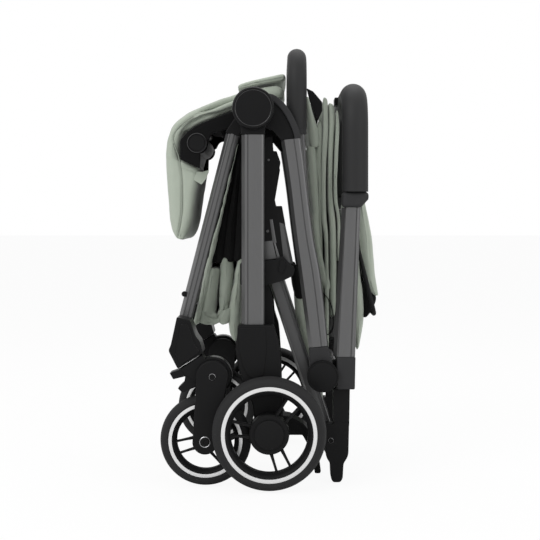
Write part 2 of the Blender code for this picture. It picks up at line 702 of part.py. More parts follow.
def struts():
    along = (STRUT_FOOT - STRUT_TOP).normalized()
    for label, side in SIDES:
        outline = capsule(STRUT_TOP, STRUT_FOOT, STRUT_WIDTH)
        strut = plate("strut_" + label, outline, STRUT_IN, STRUT_OUT, side, GUNMETAL)
        add_bevel(strut, 0.0040, 2)
        bore(strut, STRUT_TOP, PIN_RADIUS + FIT_GAP, STRUT_IN, STRUT_OUT, side)
        bore(strut, STRUT_FOOT, PIN_RADIUS + FIT_GAP, STRUT_IN, STRUT_OUT, side)
    bar = STRUT_TOP + along * STRUT_BAR_DISTANCE
    reach = STRUT_IN - FIT_GAP
    rod("strut_cross_bar", (bar.x, -reach, bar.y), (bar.x, reach, bar.y), CROSS_BAR_RADIUS, BLACK)


# Front frame: legs, feet and cross bar
FRONT_LEG_TOP = Vector((-0.0601, 0.5750))
FRONT_LEG_BOTTOM = Vector((-0.1395, 0.2654))
FRONT_KNUCKLE_RADIUS = 0.0190
FRONT_BAR_UP = 0.0200


def front_bar_place():
    along = (FRONT_LEG_BOTTOM - FRONT_LEG_TOP).normalized()
    return FRONT_LEG_BOTTOM - along * FRONT_BAR_UP


def front_frame():
    along = (FRONT_LEG_BOTTOM - FRONT_LEG_TOP).normalized()
    across = Vector((along.y, -along.x)) * (FRONT_LEG_WIDTH / 2)
    for label, side in SIDES:
        outline = [FRONT_LEG_BOTTOM + across, FRONT_LEG_TOP + across]
        outline += arc(HUB, FRONT_KNUCKLE_RADIUS, 150, -70, 16)
        outline += [FRONT_LEG_TOP - across, FRONT_LEG_BOTTOM - across]
        leg = plate("front_leg_" + label, outline, FRONT_IN, FRONT_OUT, side, GUNMETAL)
        add_bevel(leg, 0.0050, 2)
        bore(leg, HUB, HUB_SHAFT_RADIUS + FIT_GAP, FRONT_IN, FRONT_OUT, side)

        drop = along * FIT_GAP
        face_back = SWIVEL_POINT + Vector((0.0193, 0.0120))
        face_front = SWIVEL_POINT + Vector((-0.0209, -0.0129))
        outline = [FRONT_LEG_BOTTOM + across + drop, FRONT_LEG_BOTTOM - across + drop,
                   face_back + Vector((-0.0104, 0.0233)), face_back, face_front,
                   face_front + Vector((-0.0148, 0.0290))]
        plate("front_foot_" + label, outline, FRONT_IN, FOOT_OUT, side, BLACK, edge=PLASTIC_EDGE)
    reach = FRONT_IN - FIT_GAP
    bar = front_bar_place()
    rod("front_cross_bar", (bar.x, -reach, bar.y), (bar.x, reach, bar.y), CROSS_BAR_RADIUS, BLACK)


# Swivelling forks, each with its wheel's axle
FORK_END_RADIUS = 0.0200


def caster_fork(label, side):
    wheel_in = FRONT_WHEEL_MID - FRONT_WHEEL_WIDTH / 2
    wheel_out = FRONT_WHEEL_MID + FRONT_WHEEL_WIDTH / 2
    outer_in = wheel_out + FORK_SIDE_GAP
    inner_out = wheel_in - FORK_SIDE_GAP
    axle = Vector((FRONT_WHEEL_X, FRONT_WHEEL_RADIUS))
    outline = arc(FORK_CROWN, FORK_CROWN_RADIUS, -5, 190) + arc(axle, FORK_END_RADIUS, 185, 355)
    fork = plate("caster_fork_" + label, outline, outer_in, outer_in + FORK_ARM_THICK, side, BLACK,
                 edge=0.002)
    inner = plate("fork_inner_" + label, outline, inner_out - FORK_ARM_THICK, inner_out, side, BLACK)
    crown = rod("fork_crown_" + label, (FORK_CROWN.x, side * (inner_out - 0.0050), FORK_CROWN.y),
                (FORK_CROWN.x, side * (outer_in + 0.0050), FORK_CROWN.y), FORK_CROWN_RADIUS - 0.0010,
                BLACK, 24)
    head_start = SWIVEL_POINT + SWIVEL_DIRECTION * SWIVEL_GAP
    head_end = SWIVEL_POINT + SWIVEL_DIRECTION * SWIVEL_HEAD_LENGTH
    y = side * FRONT_WHEEL_MID
    head = rod("fork_head_" + label, (head_start.x, y, head_start.y), (head_end.x, y, head_end.y),
               SWIVEL_HEAD_RADIUS, BLACK, 24)
    axle_rod = rod("fork_axle_" + label, (axle.x, side * (inner_out - 0.0040), axle.y),
                   (axle.x, side * (outer_in + 0.0040), axle.y), AXLE_RADIUS, STEEL)
    join_shapes(fork, inner, crown, head, axle_rod)


# Seat and legrest
SEAT_BAR_RADIUS = 0.0070
SEAT_FRONT = Vector((-0.1150, 0.5706))
SEAT_BEND = 0.0140
SEAT_KNUCKLE_RADIUS = 0.0170
SIDE_PLATE_THICK = 0.0030
LEGREST_HEAD_RADIUS = 0.0170
LEGREST_BOARD_INSET = 0.0200


def seat_frame():
    """A bent tube from hub to hub, with a flat plate inside each end of it."""
    y = (STRUT_IN + STRUT_OUT) / 2
    start = Vector((HUB.x - 0.0120, HUB.y - 0.0030))
    front = SEAT_FRONT
    points = [(start.x, -y, start.y), (front.x, -y, front.y), (front.x, y, front.y), (start.x, y, start.y)]
    frame = loop_tube("seat_frame", rounded_path(points, SEAT_BEND), SEAT_BAR_RADIUS, GUNMETAL)
    upper = [(-0.1475, 0.5250), (-0.1475, 0.5520), (-0.1375, 0.5640), (-0.1245, 0.5735), (-0.0983, 0.5850),
             (-0.0700, 0.5955), (-0.0640, 0.5850)]
    lower = [(-0.0650, 0.5670), (-0.0890, 0.5545), (-0.1020, 0.5400), (-0.1030, 0.5030), (-0.1165, 0.4990),
             (-0.1240, 0.5080), (-0.1350, 0.5190)]
    for label, side in SIDES:
        y_in = STRUT_IN + FIT_GAP
        cheek = plate("seat_cheek_" + label, upper + lower, y_in, y_in + SIDE_PLATE_THICK, side, BLACK)
        knuckle = plate("seat_knuckle_" + label, circle(HUB, SEAT_KNUCKLE_RADIUS, 24), STRUT_IN, STRUT_OUT,
                        side, BLACK)
        join_shapes(frame, knuckle, cheek)
        bore(frame, HUB, HUB_SHAFT_RADIUS + FIT_GAP, STRUT_IN, STRUT_OUT, side)


def board_outline(margin=0.0):
    """The legrest board from the side: a round head on the pivot and a thin blade below it."""
    head = arc(LEGREST_PIVOT, LEGREST_HEAD_RADIUS + margin, -80, 230, 12)
    blade = [(-0.1345 - margin, 0.5150), (-0.1400 - margin, 0.4300 - margin),
             (-0.1340 + margin, 0.4290 - margin), (-0.1250 + margin, 0.5150)]
    return head + blade


def legrest():
    """A stiff board hung from the seat's front bar, in a pocket of its pad."""
    reach = SEAT_HALF_WIDTH - LEGREST_BOARD_INSET
    plate("legrest_board", board_outline(), -reach, reach, 1, BLACK)
    outline = [(-0.1755, 0.5212), (-0.1743, 0.4946), (-0.1719, 0.4602), (-0.1670, 0.4210), (-0.1588, 0.3955),
               (-0.1474, 0.3868), (-0.1343, 0.3915), (-0.1228, 0.4070), (-0.1156, 0.4423), (-0.1107, 0.4733),
               (-0.1050, 0.4970), (-0.1080, 0.5030), (-0.1277, 0.5110), (-0.1480, 0.5180), (-0.1520, 0.5330),
               (-0.1680, 0.5330)]
    pad = soft_form("legrest_pad", outline, SEAT_HALF_WIDTH, SAGE, swell=0.0025, drawn_in=0.0060)
    gap = 2 * FIT_GAP
    cut_shape(pad, plate("legrest_pocket", board_outline(gap), -reach - gap, reach + gap, 1, None))


# Fabric of the seat, basket, backrest and canopy
CANOPY_BOW_RADIUS = 0.0035
CANOPY_BOW_FRONT = Vector((0.1660, 0.2680))
CANOPY_BOW_BEND = 0.0200


def seat_pad():
    top = [(-0.1737, 0.5500), (-0.1651, 0.5787), (-0.1464, 0.5968), (-0.1234, 0.6083), (-0.0889, 0.6230),
           (-0.0561, 0.6345), (-0.0232, 0.6530), (0.0113, 0.6595), (0.0150, 0.6540)]
    under = [(0.0120, 0.6480), (-0.0180, 0.6230), (-0.0561, 0.6045), (-0.0889, 0.5913), (-0.1234, 0.5772),
             (-0.1440, 0.5680), (-0.1540, 0.5550), (-0.1600, 0.5450), (-0.1690, 0.5430)]
    soft_form("seat_pad", top + under, SEAT_HALF_WIDTH + 0.0050, SAGE, swell=0.0020, drawn_in=0.0040)


def back_mesh():
    """A net that hangs from the seat's front bar, along the front legs."""
    front = [(-0.1100, 0.5700), (-0.1075, 0.5640), (-0.1010, 0.5560), (-0.0890, 0.5490), (-0.0745, 0.5260),
             (-0.0826, 0.4902), (-0.0985, 0.4292), (-0.1105, 0.3760)]
    back = [(-0.1060, 0.3580), (-0.0826, 0.3570), (-0.0540, 0.3590), (-0.0460, 0.3720), (-0.0460, 0.4600),
            (-0.0470, 0.5560), (-0.0570, 0.5780), (-0.0760, 0.5800), (-0.0950, 0.5760)]
    net = soft_form("back_mesh", front + back, SEAT_HALF_WIDTH - 0.0050, MESH_CLOTH, swell=0.0010,
                    drawn_in=0.0030, folds=2, depth=0.0008)
    sleeve_on(net, SEAT_FRONT, SEAT_BAR_RADIUS)


def basket():
    """A bag that hangs folded on the front cross bar."""
    front = [(-0.1190, 0.3470), (-0.1205, 0.3200), (-0.1240, 0.2980), (-0.1320, 0.2820), (-0.1320, 0.2620),
             (-0.1335, 0.2420), (-0.1219, 0.2435), (-0.1087, 0.2336), (-0.0972, 0.2215), (-0.0890, 0.2155)]
    back = [(-0.0791, 0.2165), (-0.0709, 0.2247), (-0.0594, 0.2451), (-0.0520, 0.2533), (-0.0500, 0.3000),
            (-0.0512, 0.3440), (-0.0700, 0.3480), (-0.0960, 0.3490)]
    bag = soft_form("basket", front + back, SEAT_HALF_WIDTH - 0.0020, SAGE, swell=0.0010, drawn_in=0.0040,
                    folds=3, depth=0.0015)
    sleeve_on(bag, front_bar_place(), CROSS_BAR_RADIUS)


def sleeve_on(soft_piece, place, radius):
    """Takes the room of a cross bar out of a soft piece that hangs on it."""
    reach = SEAT_HALF_WIDTH + 0.0300
    bar = rod(soft_piece.name + "_sleeve", (place.x, -reach, place.y), (place.x, reach, place.y),
              radius + FIT_GAP, collection=GUIDES)
    cut_shape(soft_piece, bar, solver="MANIFOLD")


def backrest():
    """The folded backrest: three hanging layers joined low down."""
    tops = [(0.0560, 0.5000), (0.0565, 0.5700), (0.0580, 0.6150), (0.0650, 0.6050), (0.0710, 0.5750),
            (0.0750, 0.5350), (0.0790, 0.5500), (0.0854, 0.6240), (0.0930, 0.6180), (0.0965, 0.5850),
            (0.0985, 0.5600), (0.1020, 0.6020), (0.1080, 0.5600)]
    low = [(0.1060, 0.4600), (0.1010, 0.3600), (0.0960, 0.2600), (0.0930, 0.1800), (0.0880, 0.1100),
           (0.0820, 0.0860), (0.0760, 0.1100), (0.0740, 0.1800), (0.0720, 0.2600), (0.0640, 0.3600)]
    soft_form("backrest", tops + low, SEAT_HALF_WIDTH - 0.0020, SAGE, swell=0.0012, drawn_in=0.0025)


def canopy():
    outer = [(0.1538, 0.4600), (0.1579, 0.4292), (0.1650, 0.3831), (0.1722, 0.3238), (0.1736, 0.3000),
             (0.1680, 0.2860), (0.1530, 0.2620), (0.1480, 0.2349), (0.1398, 0.2050)]
    inner = [(0.1320, 0.2060), (0.1240, 0.2500), (0.1200, 0.3200), (0.1210, 0.4000), (0.1280, 0.4560),
             (0.1400, 0.4680)]
    soft_form("canopy", outer + inner, SEAT_HALF_WIDTH + 0.0100, SAGE, swell=0.0030, drawn_in=0.0080,
              folds=2, depth=0.0015)

    y = ARMREST_IN - FIT_GAP - CANOPY_BOW_RADIUS
    pivot = CANOPY_PIVOT
    front = CANOPY_BOW_FRONT
    points = [(pivot.x, -y, pivot.y), (front.x, -y, front.y), (front.x, y, front.y), (pivot.x, y, pivot.y)]
    loop_tube("canopy_bow", rounded_path(points, CANOPY_BOW_BEND, 5), CANOPY_BOW_RADIUS, BLACK)


# Each moving group hangs on an empty that stands on its joint's axis
def hang_on(child, carrier):
    child.parent = carrier
    child.matrix_parent_inverse = Matrix.Translation(-carrier.location)


def joint_axis(name, place, beginnings, carrier=None, y=0.0):
    axis = bpy.data.objects.new(name, None)
    axis.empty_display_size = HUB_COVER_RADIUS
    PARTS.objects.link(axis)
    axis.location = (place[0], y, place[1])
    if carrier:
        hang_on(axis, carrier)
    for piece in PARTS.objects:
        if piece.type == "MESH" and piece.name.startswith(beginnings):
            hang_on(piece, axis)
    return axis


def hang_pieces():
    rear_axle_place = (REAR_WHEEL_X, REAR_WHEEL_RADIUS)
    armrest_axis = joint_axis("armrest_axis", HUB, ("armrest_", "lap_cap_"))
    handle_axis = joint_axis("handle_axis", LAP_PIVOT, ("handle_", "backrest", "canopy"), armrest_axis)
    joint_axis("canopy_axis", CANOPY_PIVOT, ("canopy_bow",), handle_axis)
    button_place = (GRIP_X - GRIP_RADIUS, GRIP_TOP - GRIP_RADIUS)
    joint_axis("button_axis", button_place, ("release_button",), handle_axis)
    joint_axis("bumper_axis", (BUMPER_X, BUMPER_FOOT), ("bumper_bar",), armrest_axis)
    joint_axis("strut_axis", STRUT_TOP, ("strut_left", "strut_right", "strut_cross_bar"))
    joint_axis("brake_axis", rear_axle_place, ("brake_pedal",))
    seat_axis = joint_axis("seat_axis", HUB, ("seat_", "back_mesh"))
    joint_axis("legrest_axis", LEGREST_PIVOT, ("legrest_",), seat_axis)
    front_axis = joint_axis("front_axis", HUB, ("front_leg_", "front_foot_", "front_cross_bar", "basket"))
    for label, side in SIDES:
        joint_axis("rear_wheel_axis_" + label, rear_axle_place, ("rear_tyre_" + label, "rear_rim_" + label))
        swivel = joint_axis("swivel_axis_" + label, SWIVEL_POINT, ("caster_fork_" + label,), front_axis,
                            side * FRONT_WHEEL_MID)
        joint_axis("front_wheel_axis_" + label, (FRONT_WHEEL_X, FRONT_WHEEL_RADIUS),
                   ("front_tyre_" + label, "front_rim_" + label), swivel)


fixed_frame()
brake_pedal()
wheels()
for side_label, side_sign in SIDES:
    armrest(side_label, side_sign)
    handle_side(side_label, side_sign)
    caster_fork(side_label, side_sign)
bumper_bar()
handle_grip()
struts()
front_frame()
seat_frame()
legrest()
seat_pad()
back_mesh()
basket()
backrest()
canopy()
hang_pieces()
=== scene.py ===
"""Looks of the folded pushchair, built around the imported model.

Metres, +Z up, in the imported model's own frame: front wheels at -X, push handle at +X,
left side at -Y. Side-view outlines are written as x and z; mm() and faced() take millimetres.
"""
import json
import math

import bmesh
import bpy
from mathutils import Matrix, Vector, noise


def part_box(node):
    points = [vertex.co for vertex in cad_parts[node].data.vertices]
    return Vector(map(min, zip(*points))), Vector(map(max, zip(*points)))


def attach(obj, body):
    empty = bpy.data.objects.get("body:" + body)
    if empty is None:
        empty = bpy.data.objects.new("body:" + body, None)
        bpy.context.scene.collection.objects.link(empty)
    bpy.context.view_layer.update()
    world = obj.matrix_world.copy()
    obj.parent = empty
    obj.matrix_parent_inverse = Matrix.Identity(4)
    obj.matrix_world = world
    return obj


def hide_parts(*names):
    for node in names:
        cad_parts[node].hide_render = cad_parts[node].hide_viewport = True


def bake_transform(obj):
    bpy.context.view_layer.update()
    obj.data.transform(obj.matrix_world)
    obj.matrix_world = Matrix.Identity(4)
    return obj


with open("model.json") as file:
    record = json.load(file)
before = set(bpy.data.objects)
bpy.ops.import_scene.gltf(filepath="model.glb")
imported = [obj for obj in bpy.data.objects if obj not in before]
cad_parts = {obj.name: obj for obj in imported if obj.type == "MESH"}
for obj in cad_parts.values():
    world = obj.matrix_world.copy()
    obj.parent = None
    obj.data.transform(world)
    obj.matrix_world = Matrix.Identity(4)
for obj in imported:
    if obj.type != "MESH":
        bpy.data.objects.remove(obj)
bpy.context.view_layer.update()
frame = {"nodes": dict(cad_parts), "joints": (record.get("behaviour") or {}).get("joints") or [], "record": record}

SIDES = {"left": -1, "right": 1}


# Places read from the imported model
def layer(node):
    """How far from the middle plane the left node begins and ends."""
    low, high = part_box(node + "_left")
    return -high.y, -low.y


def joint_place(name):
    for joint in frame["joints"]:
        if joint["name"] == name:
            return Vector(joint["pos_m"])
    raise ValueError(name)


def side_view(point):
    return Vector((point.x, point.z))


HUB = side_view(joint_place("main_fold"))
LAP_PIVOT = side_view(joint_place("handle_fold"))
STRUT_TOP = side_view(joint_place("strut_fold"))
REAR_AXLE = side_view(joint_place("rear_wheel_spin_left"))
FRONT_AXLE = side_view(joint_place("front_wheel_spin_left"))

REAR_LEG_IN, REAR_LEG_OUT = layer("rear_leg")
HUB_COVER_IN, HUB_COVER_OUT = layer("hub_cover")
HOUSING_IN, HOUSING_OUT = layer("rear_housing")
ARMREST_IN, ARMREST_OUT = layer("armrest_tube")
FRONT_IN, FRONT_OUT = layer("front_leg")
FOOT_OUT = layer("front_foot")[1]
FORK_IN, FORK_OUT = layer("caster_fork")
LAP_CAP_IN, LAP_CAP_OUT = layer("lap_cap")
COLLAR_IN, COLLAR_OUT = layer("handle_collar")


# Curves and outlines
def mm(points):
    """Side-view points given in millimetres."""
    return [Vector((x / 1000, z / 1000)) for x, z in points]


def faced(face, rows):
    """A turned profile: each row is a radius and a step outwards from the face, in millimetres."""
    return [(radius / 1000, face + step / 1000) for radius, step in rows]


def catmull(a, b, c, d, t):
    return 0.5 * ((2 * b) + (c - a) * t + (2 * a - 5 * b + 4 * c - d) * t * t
                  + (3 * b - a - 3 * c + d) * t * t * t)


def smooth_line(points, steps=8):
    """An open smooth curve through the points."""
    knots = [Vector(p) for p in points]
    knots = [2 * knots[0] - knots[1], *knots, 2 * knots[-1] - knots[-2]]
    line = []
    for index in range(1, len(knots) - 2):
        for step in range(steps):
            line.append(catmull(*knots[index - 1:index + 3], step / steps))
    line.append(knots[-2])
    return line


def even_line(points, count):
    """The same line as count points at even distances."""
    lengths = [0.0]
    for first, second in zip(points, points[1:]):
        lengths.append(lengths[-1] + (second - first).length)
    line = []
    index = 0
    for step in range(count):
        wanted = lengths[-1] * step / (count - 1)
        while index < len(points) - 2 and lengths[index + 1] < wanted:
            index += 1
        span = max(lengths[index + 1] - lengths[index], 1e-9)
        line.append(points[index].lerp(points[index + 1], (wanted - lengths[index]) / span))
    return line


def arc(center, radius, start_deg, end_deg, steps=12):
    points = []
    for step in range(steps + 1):
        angle = math.radians(start_deg + (end_deg - start_deg) * step / steps)
        points.append(Vector((center[0] + radius * math.cos(angle), center[1] + radius * math.sin(angle))))
    return points


def corner_bend(before, corner, after, reach, steps):
    """A bend that leaves and meets the two edges at the given reach from their corner."""
    start = corner + (before - corner).normalized() * reach
    end = corner + (after - corner).normalized() * reach
    shares = [step / steps for step in range(steps + 1)]
    return [start * (1 - t) ** 2 + corner * 2 * t * (1 - t) + end * t * t for t in shares]


def rounded_path(points, radius, steps=14):
    """A line in space whose inner corners are round."""
    points = [Vector(point) for point in points]
    path = points[:1]
    for before, corner, after in zip(points, points[1:], points[2:]):
        path += corner_bend(before, corner, after, radius, steps)
    return path + points[-1:]


def rounded_outline(corners, radius, steps=5):
    """A closed side-view outline whose corners are round; radius may be one value or one a corner."""
    count = len(corners)
    radii = radius if isinstance(radius, list) else [radius] * count
    outline = []
    for index in range(count):
        before, corner, after = (Vector(corners[(index + shift) % count]) for shift in (-1, 0, 1))
        reach = min(radii[index], (before - corner).length * 0.48, (after - corner).length * 0.48)
        outline += corner_bend(before, corner, after, reach, steps)
    return outline


# Mesh builders
def finish_mesh(name, shape, paint, sharp_deg=38):
    mesh = bpy.data.meshes.new(name)
    bmesh.ops.recalc_face_normals(shape, faces=shape.faces)
    shape.to_mesh(mesh)
    shape.free()
    mesh.shade_smooth()
    if sharp_deg:
        mesh.set_sharp_from_angle(angle=math.radians(sharp_deg))
    made = bpy.data.objects.new(name, mesh)
    bpy.context.scene.collection.objects.link(made)
    mesh.materials.append(paint)
    return made


def settle(piece, body, *nodes, slot=None):
    """The piece rides on its body and stands for the given nodes; slot is not used."""
    if body:
        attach(piece, body)
    if nodes:
        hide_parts(*nodes)


def skin_rows(shape, rows):
    """Faces between closed rings of points, and flat ends."""
    rings = [[shape.verts.new(point) for point in row] for row in rows]
    for ring, following in zip(rings, rings[1:]):
        count = len(ring)
        for index in range(count):
            after = (index + 1) % count
            shape.faces.new((ring[index], ring[after], following[after], following[index]))
    shape.faces.new(list(reversed(rings[0])))
    shape.faces.new(rings[-1])


def tube_section(width, thick, corner, grooves, crown, groove_half=0.0009, groove_depth=0.0011):
    """A closed section, u across the tube and v through it, with rounded edges and crowned faces."""
    def face_point(u, sunk=0.0):
        return (u, thick - crown * (2 * u / width - 1) ** 2 - sunk)

    middles = [width * share for share in grooves]
    starts = [corner] + [middle + groove_half for middle in middles]
    ends = [middle - groove_half for middle in middles] + [width - corner]
    half = []
    for index, (start, end) in enumerate(zip(starts, ends)):
        half += [face_point(start + (end - start) * step / 6) for step in range(7)]
        if index < len(middles):
            for shift in (-0.4, 0.4):
                half.append(face_point(middles[index] + groove_half * shift, groove_depth))
    edge = face_point(width - corner)[1]
    for step in range(1, 7):
        angle = math.pi / 2 * (1 - step / 6)
        half.append((width - corner + corner * math.cos(angle), edge - corner + corner * math.sin(angle)))
    return half + [(width - u, thick - v) for u, v in half]


def edge_tube(name, left, right, y_in, y_out, side, paint, grooves=(0.28,), corner=0.0055, crown=0.0016,
              stations=2):
    """A flat oval tube between two edge lines of the side view, with long grooves in both faces."""
    lefts = even_line([Vector(p) for p in left], stations)
    rights = even_line([Vector(p) for p in right], stations)
    thick = y_out - y_in
    shape = bmesh.new()
    rows = []
    for start, end in zip(lefts, rights):
        across = end - start
        unit = across.normalized()
        row = []
        for u, v in tube_section(across.length, thick, corner, grooves, crown):
            place = start + unit * u
            row.append((place.x, side * (y_in + v), place.y))
        rows.append(row)
    skin_rows(shape, rows)
    return finish_mesh(name, shape, paint, 30)


def slab(name, outline, y_in, y_out, side, paint, edge=0.0015, segments=3):
    """A side-view outline with a thickness and rounded edges."""
    shape = bmesh.new()
    shape.faces.new([shape.verts.new((p[0], side * y_in, p[1])) for p in outline])
    grown = bmesh.ops.extrude_face_region(shape, geom=list(shape.faces))
    moved = [item for item in grown["geom"] if isinstance(item, bmesh.types.BMVert)]
    bmesh.ops.translate(shape, verts=moved, vec=(0, side * (y_out - y_in), 0))
    made = finish_mesh(name, shape, paint, 38)
    bevel = made.modifiers.new("rounded_edges", "BEVEL")
    bevel.width = edge
    bevel.segments = segments
    bevel.limit_method = "ANGLE"
    bevel.angle_limit = math.radians(50)
    bevel.harden_normals = True
    return made


def lathe_into(shape, center, profile, side, steps=96):
    """Radius and outward y, turned about the line through center along Y."""
    rings = []
    for radius, y in profile:
        if radius < 1e-6:
            rings.append([shape.verts.new((center[0], side * y, center[1]))])
            continue
        ring = []
        for step in range(steps):
            angle = 2 * math.pi * step / steps
            ring.append(shape.verts.new((center[0] + radius * math.cos(angle), side * y,
                                         center[1] + radius * math.sin(angle))))
        rings.append(ring)
    closed = len(rings[0]) > 1 and len(rings[-1]) > 1
    pairs = list(zip(rings, rings[1:]))
    if closed:
        pairs.append((rings[-1], rings[0]))
    for first, second in pairs:
        for step in range(steps):
            after = (step + 1) % steps
            if len(first) == 1:
                shape.faces.new((first[0], second[after], second[step]))
            elif len(second) == 1:
                shape.faces.new((first[step], first[after], second[0]))
            else:
                shape.faces.new((first[step], first[after], second[after], second[step]))


def lathe(name, center, profile, side, paint, steps=96, sharp_deg=32):
    shape = bmesh.new()
    lathe_into(shape, center, profile, side, steps)
    return finish_mesh(name, shape, paint, sharp_deg)


def path_frames(path):
    """Two unit vectors square to the path at each point, which turn with it without twist."""
    frames = []
    normal = None
    for index, point in enumerate(path):
        before = path[max(index - 1, 0)]
        after = path[min(index + 1, len(path) - 1)]
        along = (after - before).normalized()
        if normal is None:
            guess = Vector((1, 0, 0)) if abs(along.x) < 0.8 else Vector((0, 1, 0))
            normal = (guess - along * guess.dot(along)).normalized()
        else:
            normal = (normal - along * normal.dot(along)).normalized()
        frames.append((normal.copy(), along.cross(normal).normalized()))
    return frames


def sweep_into(shape, path, section):
    """section(index, share) gives the ring of the sweep at a point of the path, as pairs in its frame."""
    rows = []
    last = len(path) - 1
    for index, (point, (first, second)) in enumerate(zip(path, path_frames(path))):
        rows.append([point + first * a + second * b for a, b in section(index, index / last)])
    skin_rows(shape, rows)


def round_section(radius, sides=28):
    ring = [(radius * math.cos(2 * math.pi * k / sides), radius * math.sin(2 * math.pi * k / sides))
            for k in range(sides)]
    return lambda index, share: ring


# Pieces of one side: the label ends their name, and the name of the node that they stand for
def side_piece(made, label, body, node, slot=None):
    settle(made, body, *(["%s_%s" % (node, label)] if node else []), slot=slot)


def plate(name, label, body, outline, y_in, y_out, paint=None, edge=0.0015, segments=3, node=None,
          slot=None):
    made = slab("%s_%s" % (name, label), outline, y_in, y_out, SIDES[label], paint or BLACK, edge, segments)
    side_piece(made, label, body, node, slot)


def bar(name, label, body, left, right, y_in, y_out, paint, node=None, **section):
    made = edge_tube("%s_%s" % (name, label), left, right, y_in, y_out, SIDES[label], paint, **section)
    side_piece(made, label, body, node)


def turned(name, label, body, center, profile, paint, steps=96, node=None, sharp_deg=32):
    made = lathe("%s_%s" % (name, label), center, profile, SIDES[label], paint, steps, sharp_deg)
    side_piece(made, label, body, node)


# Materials
def new_paint(name, color, roughness, metallic=0.0, specular=0.5):
    paint = bpy.data.materials.new(name)
    paint.use_nodes = True
    inputs = paint.node_tree.nodes["Principled BSDF"].inputs
    inputs["Base Color"].default_value = (*color, 1.0)
    inputs["Roughness"].default_value = roughness
    inputs["Metallic"].default_value = metallic
    inputs["Specular IOR Level"].default_value = specular
    paint.diffuse_color = (*color, 1.0)
    return paint


def add_node(tree, kind, inputs=None, **settings):
    """A new node with its settings; each input is linked where a socket is given, or set to the value."""
    node = tree.nodes.new("ShaderNode" + kind)
    for name, value in settings.items():
        setattr(node, name, value)
    for slot, value in (inputs or {}).items():
        if isinstance(value, bpy.types.NodeSocket):
            tree.links.new(value, node.inputs[slot])
        else:
            node.inputs[slot].default_value = value
    return node


class Nodes:
    """Short calls for one material's nodes."""

    def __init__(self, paint):
        self.tree = paint.node_tree
        self.shader = self.tree.nodes["Principled BSDF"]
        self.place = add_node(self.tree, "TexCoord").outputs["Object"]

    def give(self, name, source):
        self.tree.links.new(source, self.shader.inputs[name])

    def noise(self, scale, detail=3.0, stretch=None):
        place = self.place
        if stretch:
            place = add_node(self.tree, "Mapping", {"Scale": stretch, "Vector": place}).outputs["Vector"]
        return add_node(self.tree, "TexNoise", {"Scale": scale, "Detail": detail,
                                                "Vector": place}).outputs["Fac"]

    def cells(self, scale):
        return add_node(self.tree, "TexVoronoi", {"Scale": scale, "Vector": self.place}).outputs["Distance"]

    def math(self, operation, *values):
        return add_node(self.tree, "Math", dict(enumerate(values)), operation=operation).outputs[0]

    def spread(self, source, low, high):
        return add_node(self.tree, "MapRange", {"To Min": low, "To Max": high,
                                                "Value": source}).outputs["Result"]

    def mix(self, share, first, second):
        first, second = ((*value, 1.0) if isinstance(value, tuple) else value for value in (first, second))
        return add_node(self.tree, "Mix", {0: share, 6: first, 7: second}, data_type="RGBA").outputs[2]

    def bump(self, *layers):
        """Each layer is a height, its strength and its depth in metres."""
        below = {}
        for height, strength, depth in layers:
            made = add_node(self.tree, "Bump", {"Strength": strength, "Distance": depth, "Height": height,
                                                **below})
            below = {"Normal": made.outputs["Normal"]}
        self.give("Normal", below["Normal"])

    def weave(self, pitch):
        """Crossed threads on whichever plane a surface faces."""
        turns = 2 * math.pi / pitch
        places = add_node(self.tree, "SeparateXYZ", {0: self.place}).outputs
        waves = [self.math("SINE", self.math("MULTIPLY", place, turns)) for place in places]
        normal = add_node(self.tree, "NewGeometry").outputs["Normal"]
        facing = add_node(self.tree, "SeparateXYZ", {0: normal}).outputs
        parts = []
        for axis in range(3):
            crossed = self.math("MULTIPLY", waves[axis - 2], waves[axis - 1])
            parts.append(self.math("MULTIPLY", crossed, self.math("MULTIPLY", facing[axis], facing[axis])))
        return self.spread(self.math("ADD", self.math("ADD", parts[0], parts[1]), parts[2]), 0.5, 1.0)


def shade_of(color, factor):
    return tuple(channel * factor for channel in color)


def cloth_paint(name, color, pitch, light=1.14, dark=0.84, depth=0.0003, sheen=0.35, roughness=0.88,
                specular=0.5):
    """Woven cloth: crossed threads, melange flecks and slow changes of shade."""
    paint = new_paint(name, color, roughness, specular=specular)
    nodes = Nodes(paint)
    weave = nodes.weave(pitch)
    flecks = nodes.noise(900.0, 4.0)
    threads = nodes.noise(500.0, 2.0, (1.0, 0.12, 0.5))
    blotches = nodes.noise(9.0, 3.0)
    tone = nodes.mix(flecks, shade_of(color, dark), shade_of(color, light))
    tone = nodes.mix(nodes.spread(threads, 0.0, 0.5), tone, shade_of(color, 0.96))
    nodes.give("Base Color", nodes.mix(nodes.spread(blotches, 0.0, 0.45), tone, shade_of(color, 0.9)))
    nodes.give("Roughness", nodes.spread(flecks, roughness - 0.08, min(roughness + 0.08, 1.0)))
    nodes.bump((nodes.noise(60.0, 3.0), 0.25, 0.001), (weave, 0.35, depth), (flecks, 0.25, 0.00015))
    nodes.shader.inputs["Sheen Weight"].default_value = sheen
    nodes.shader.inputs["Sheen Roughness"].default_value = 0.5
    return paint


def net_paint(name, color):
    """Black spacer net: round holes between knitted threads."""
    paint = new_paint(name, color, 0.85, specular=0.12)
    nodes = Nodes(paint)
    holes = nodes.weave(0.0032)
    nodes.give("Base Color", nodes.mix(holes, shade_of(color, 0.35), shade_of(color, 1.7)))
    nodes.bump((holes, 0.7, 0.0006))
    nodes.shader.inputs["Sheen Weight"].default_value = 0.03
    return paint


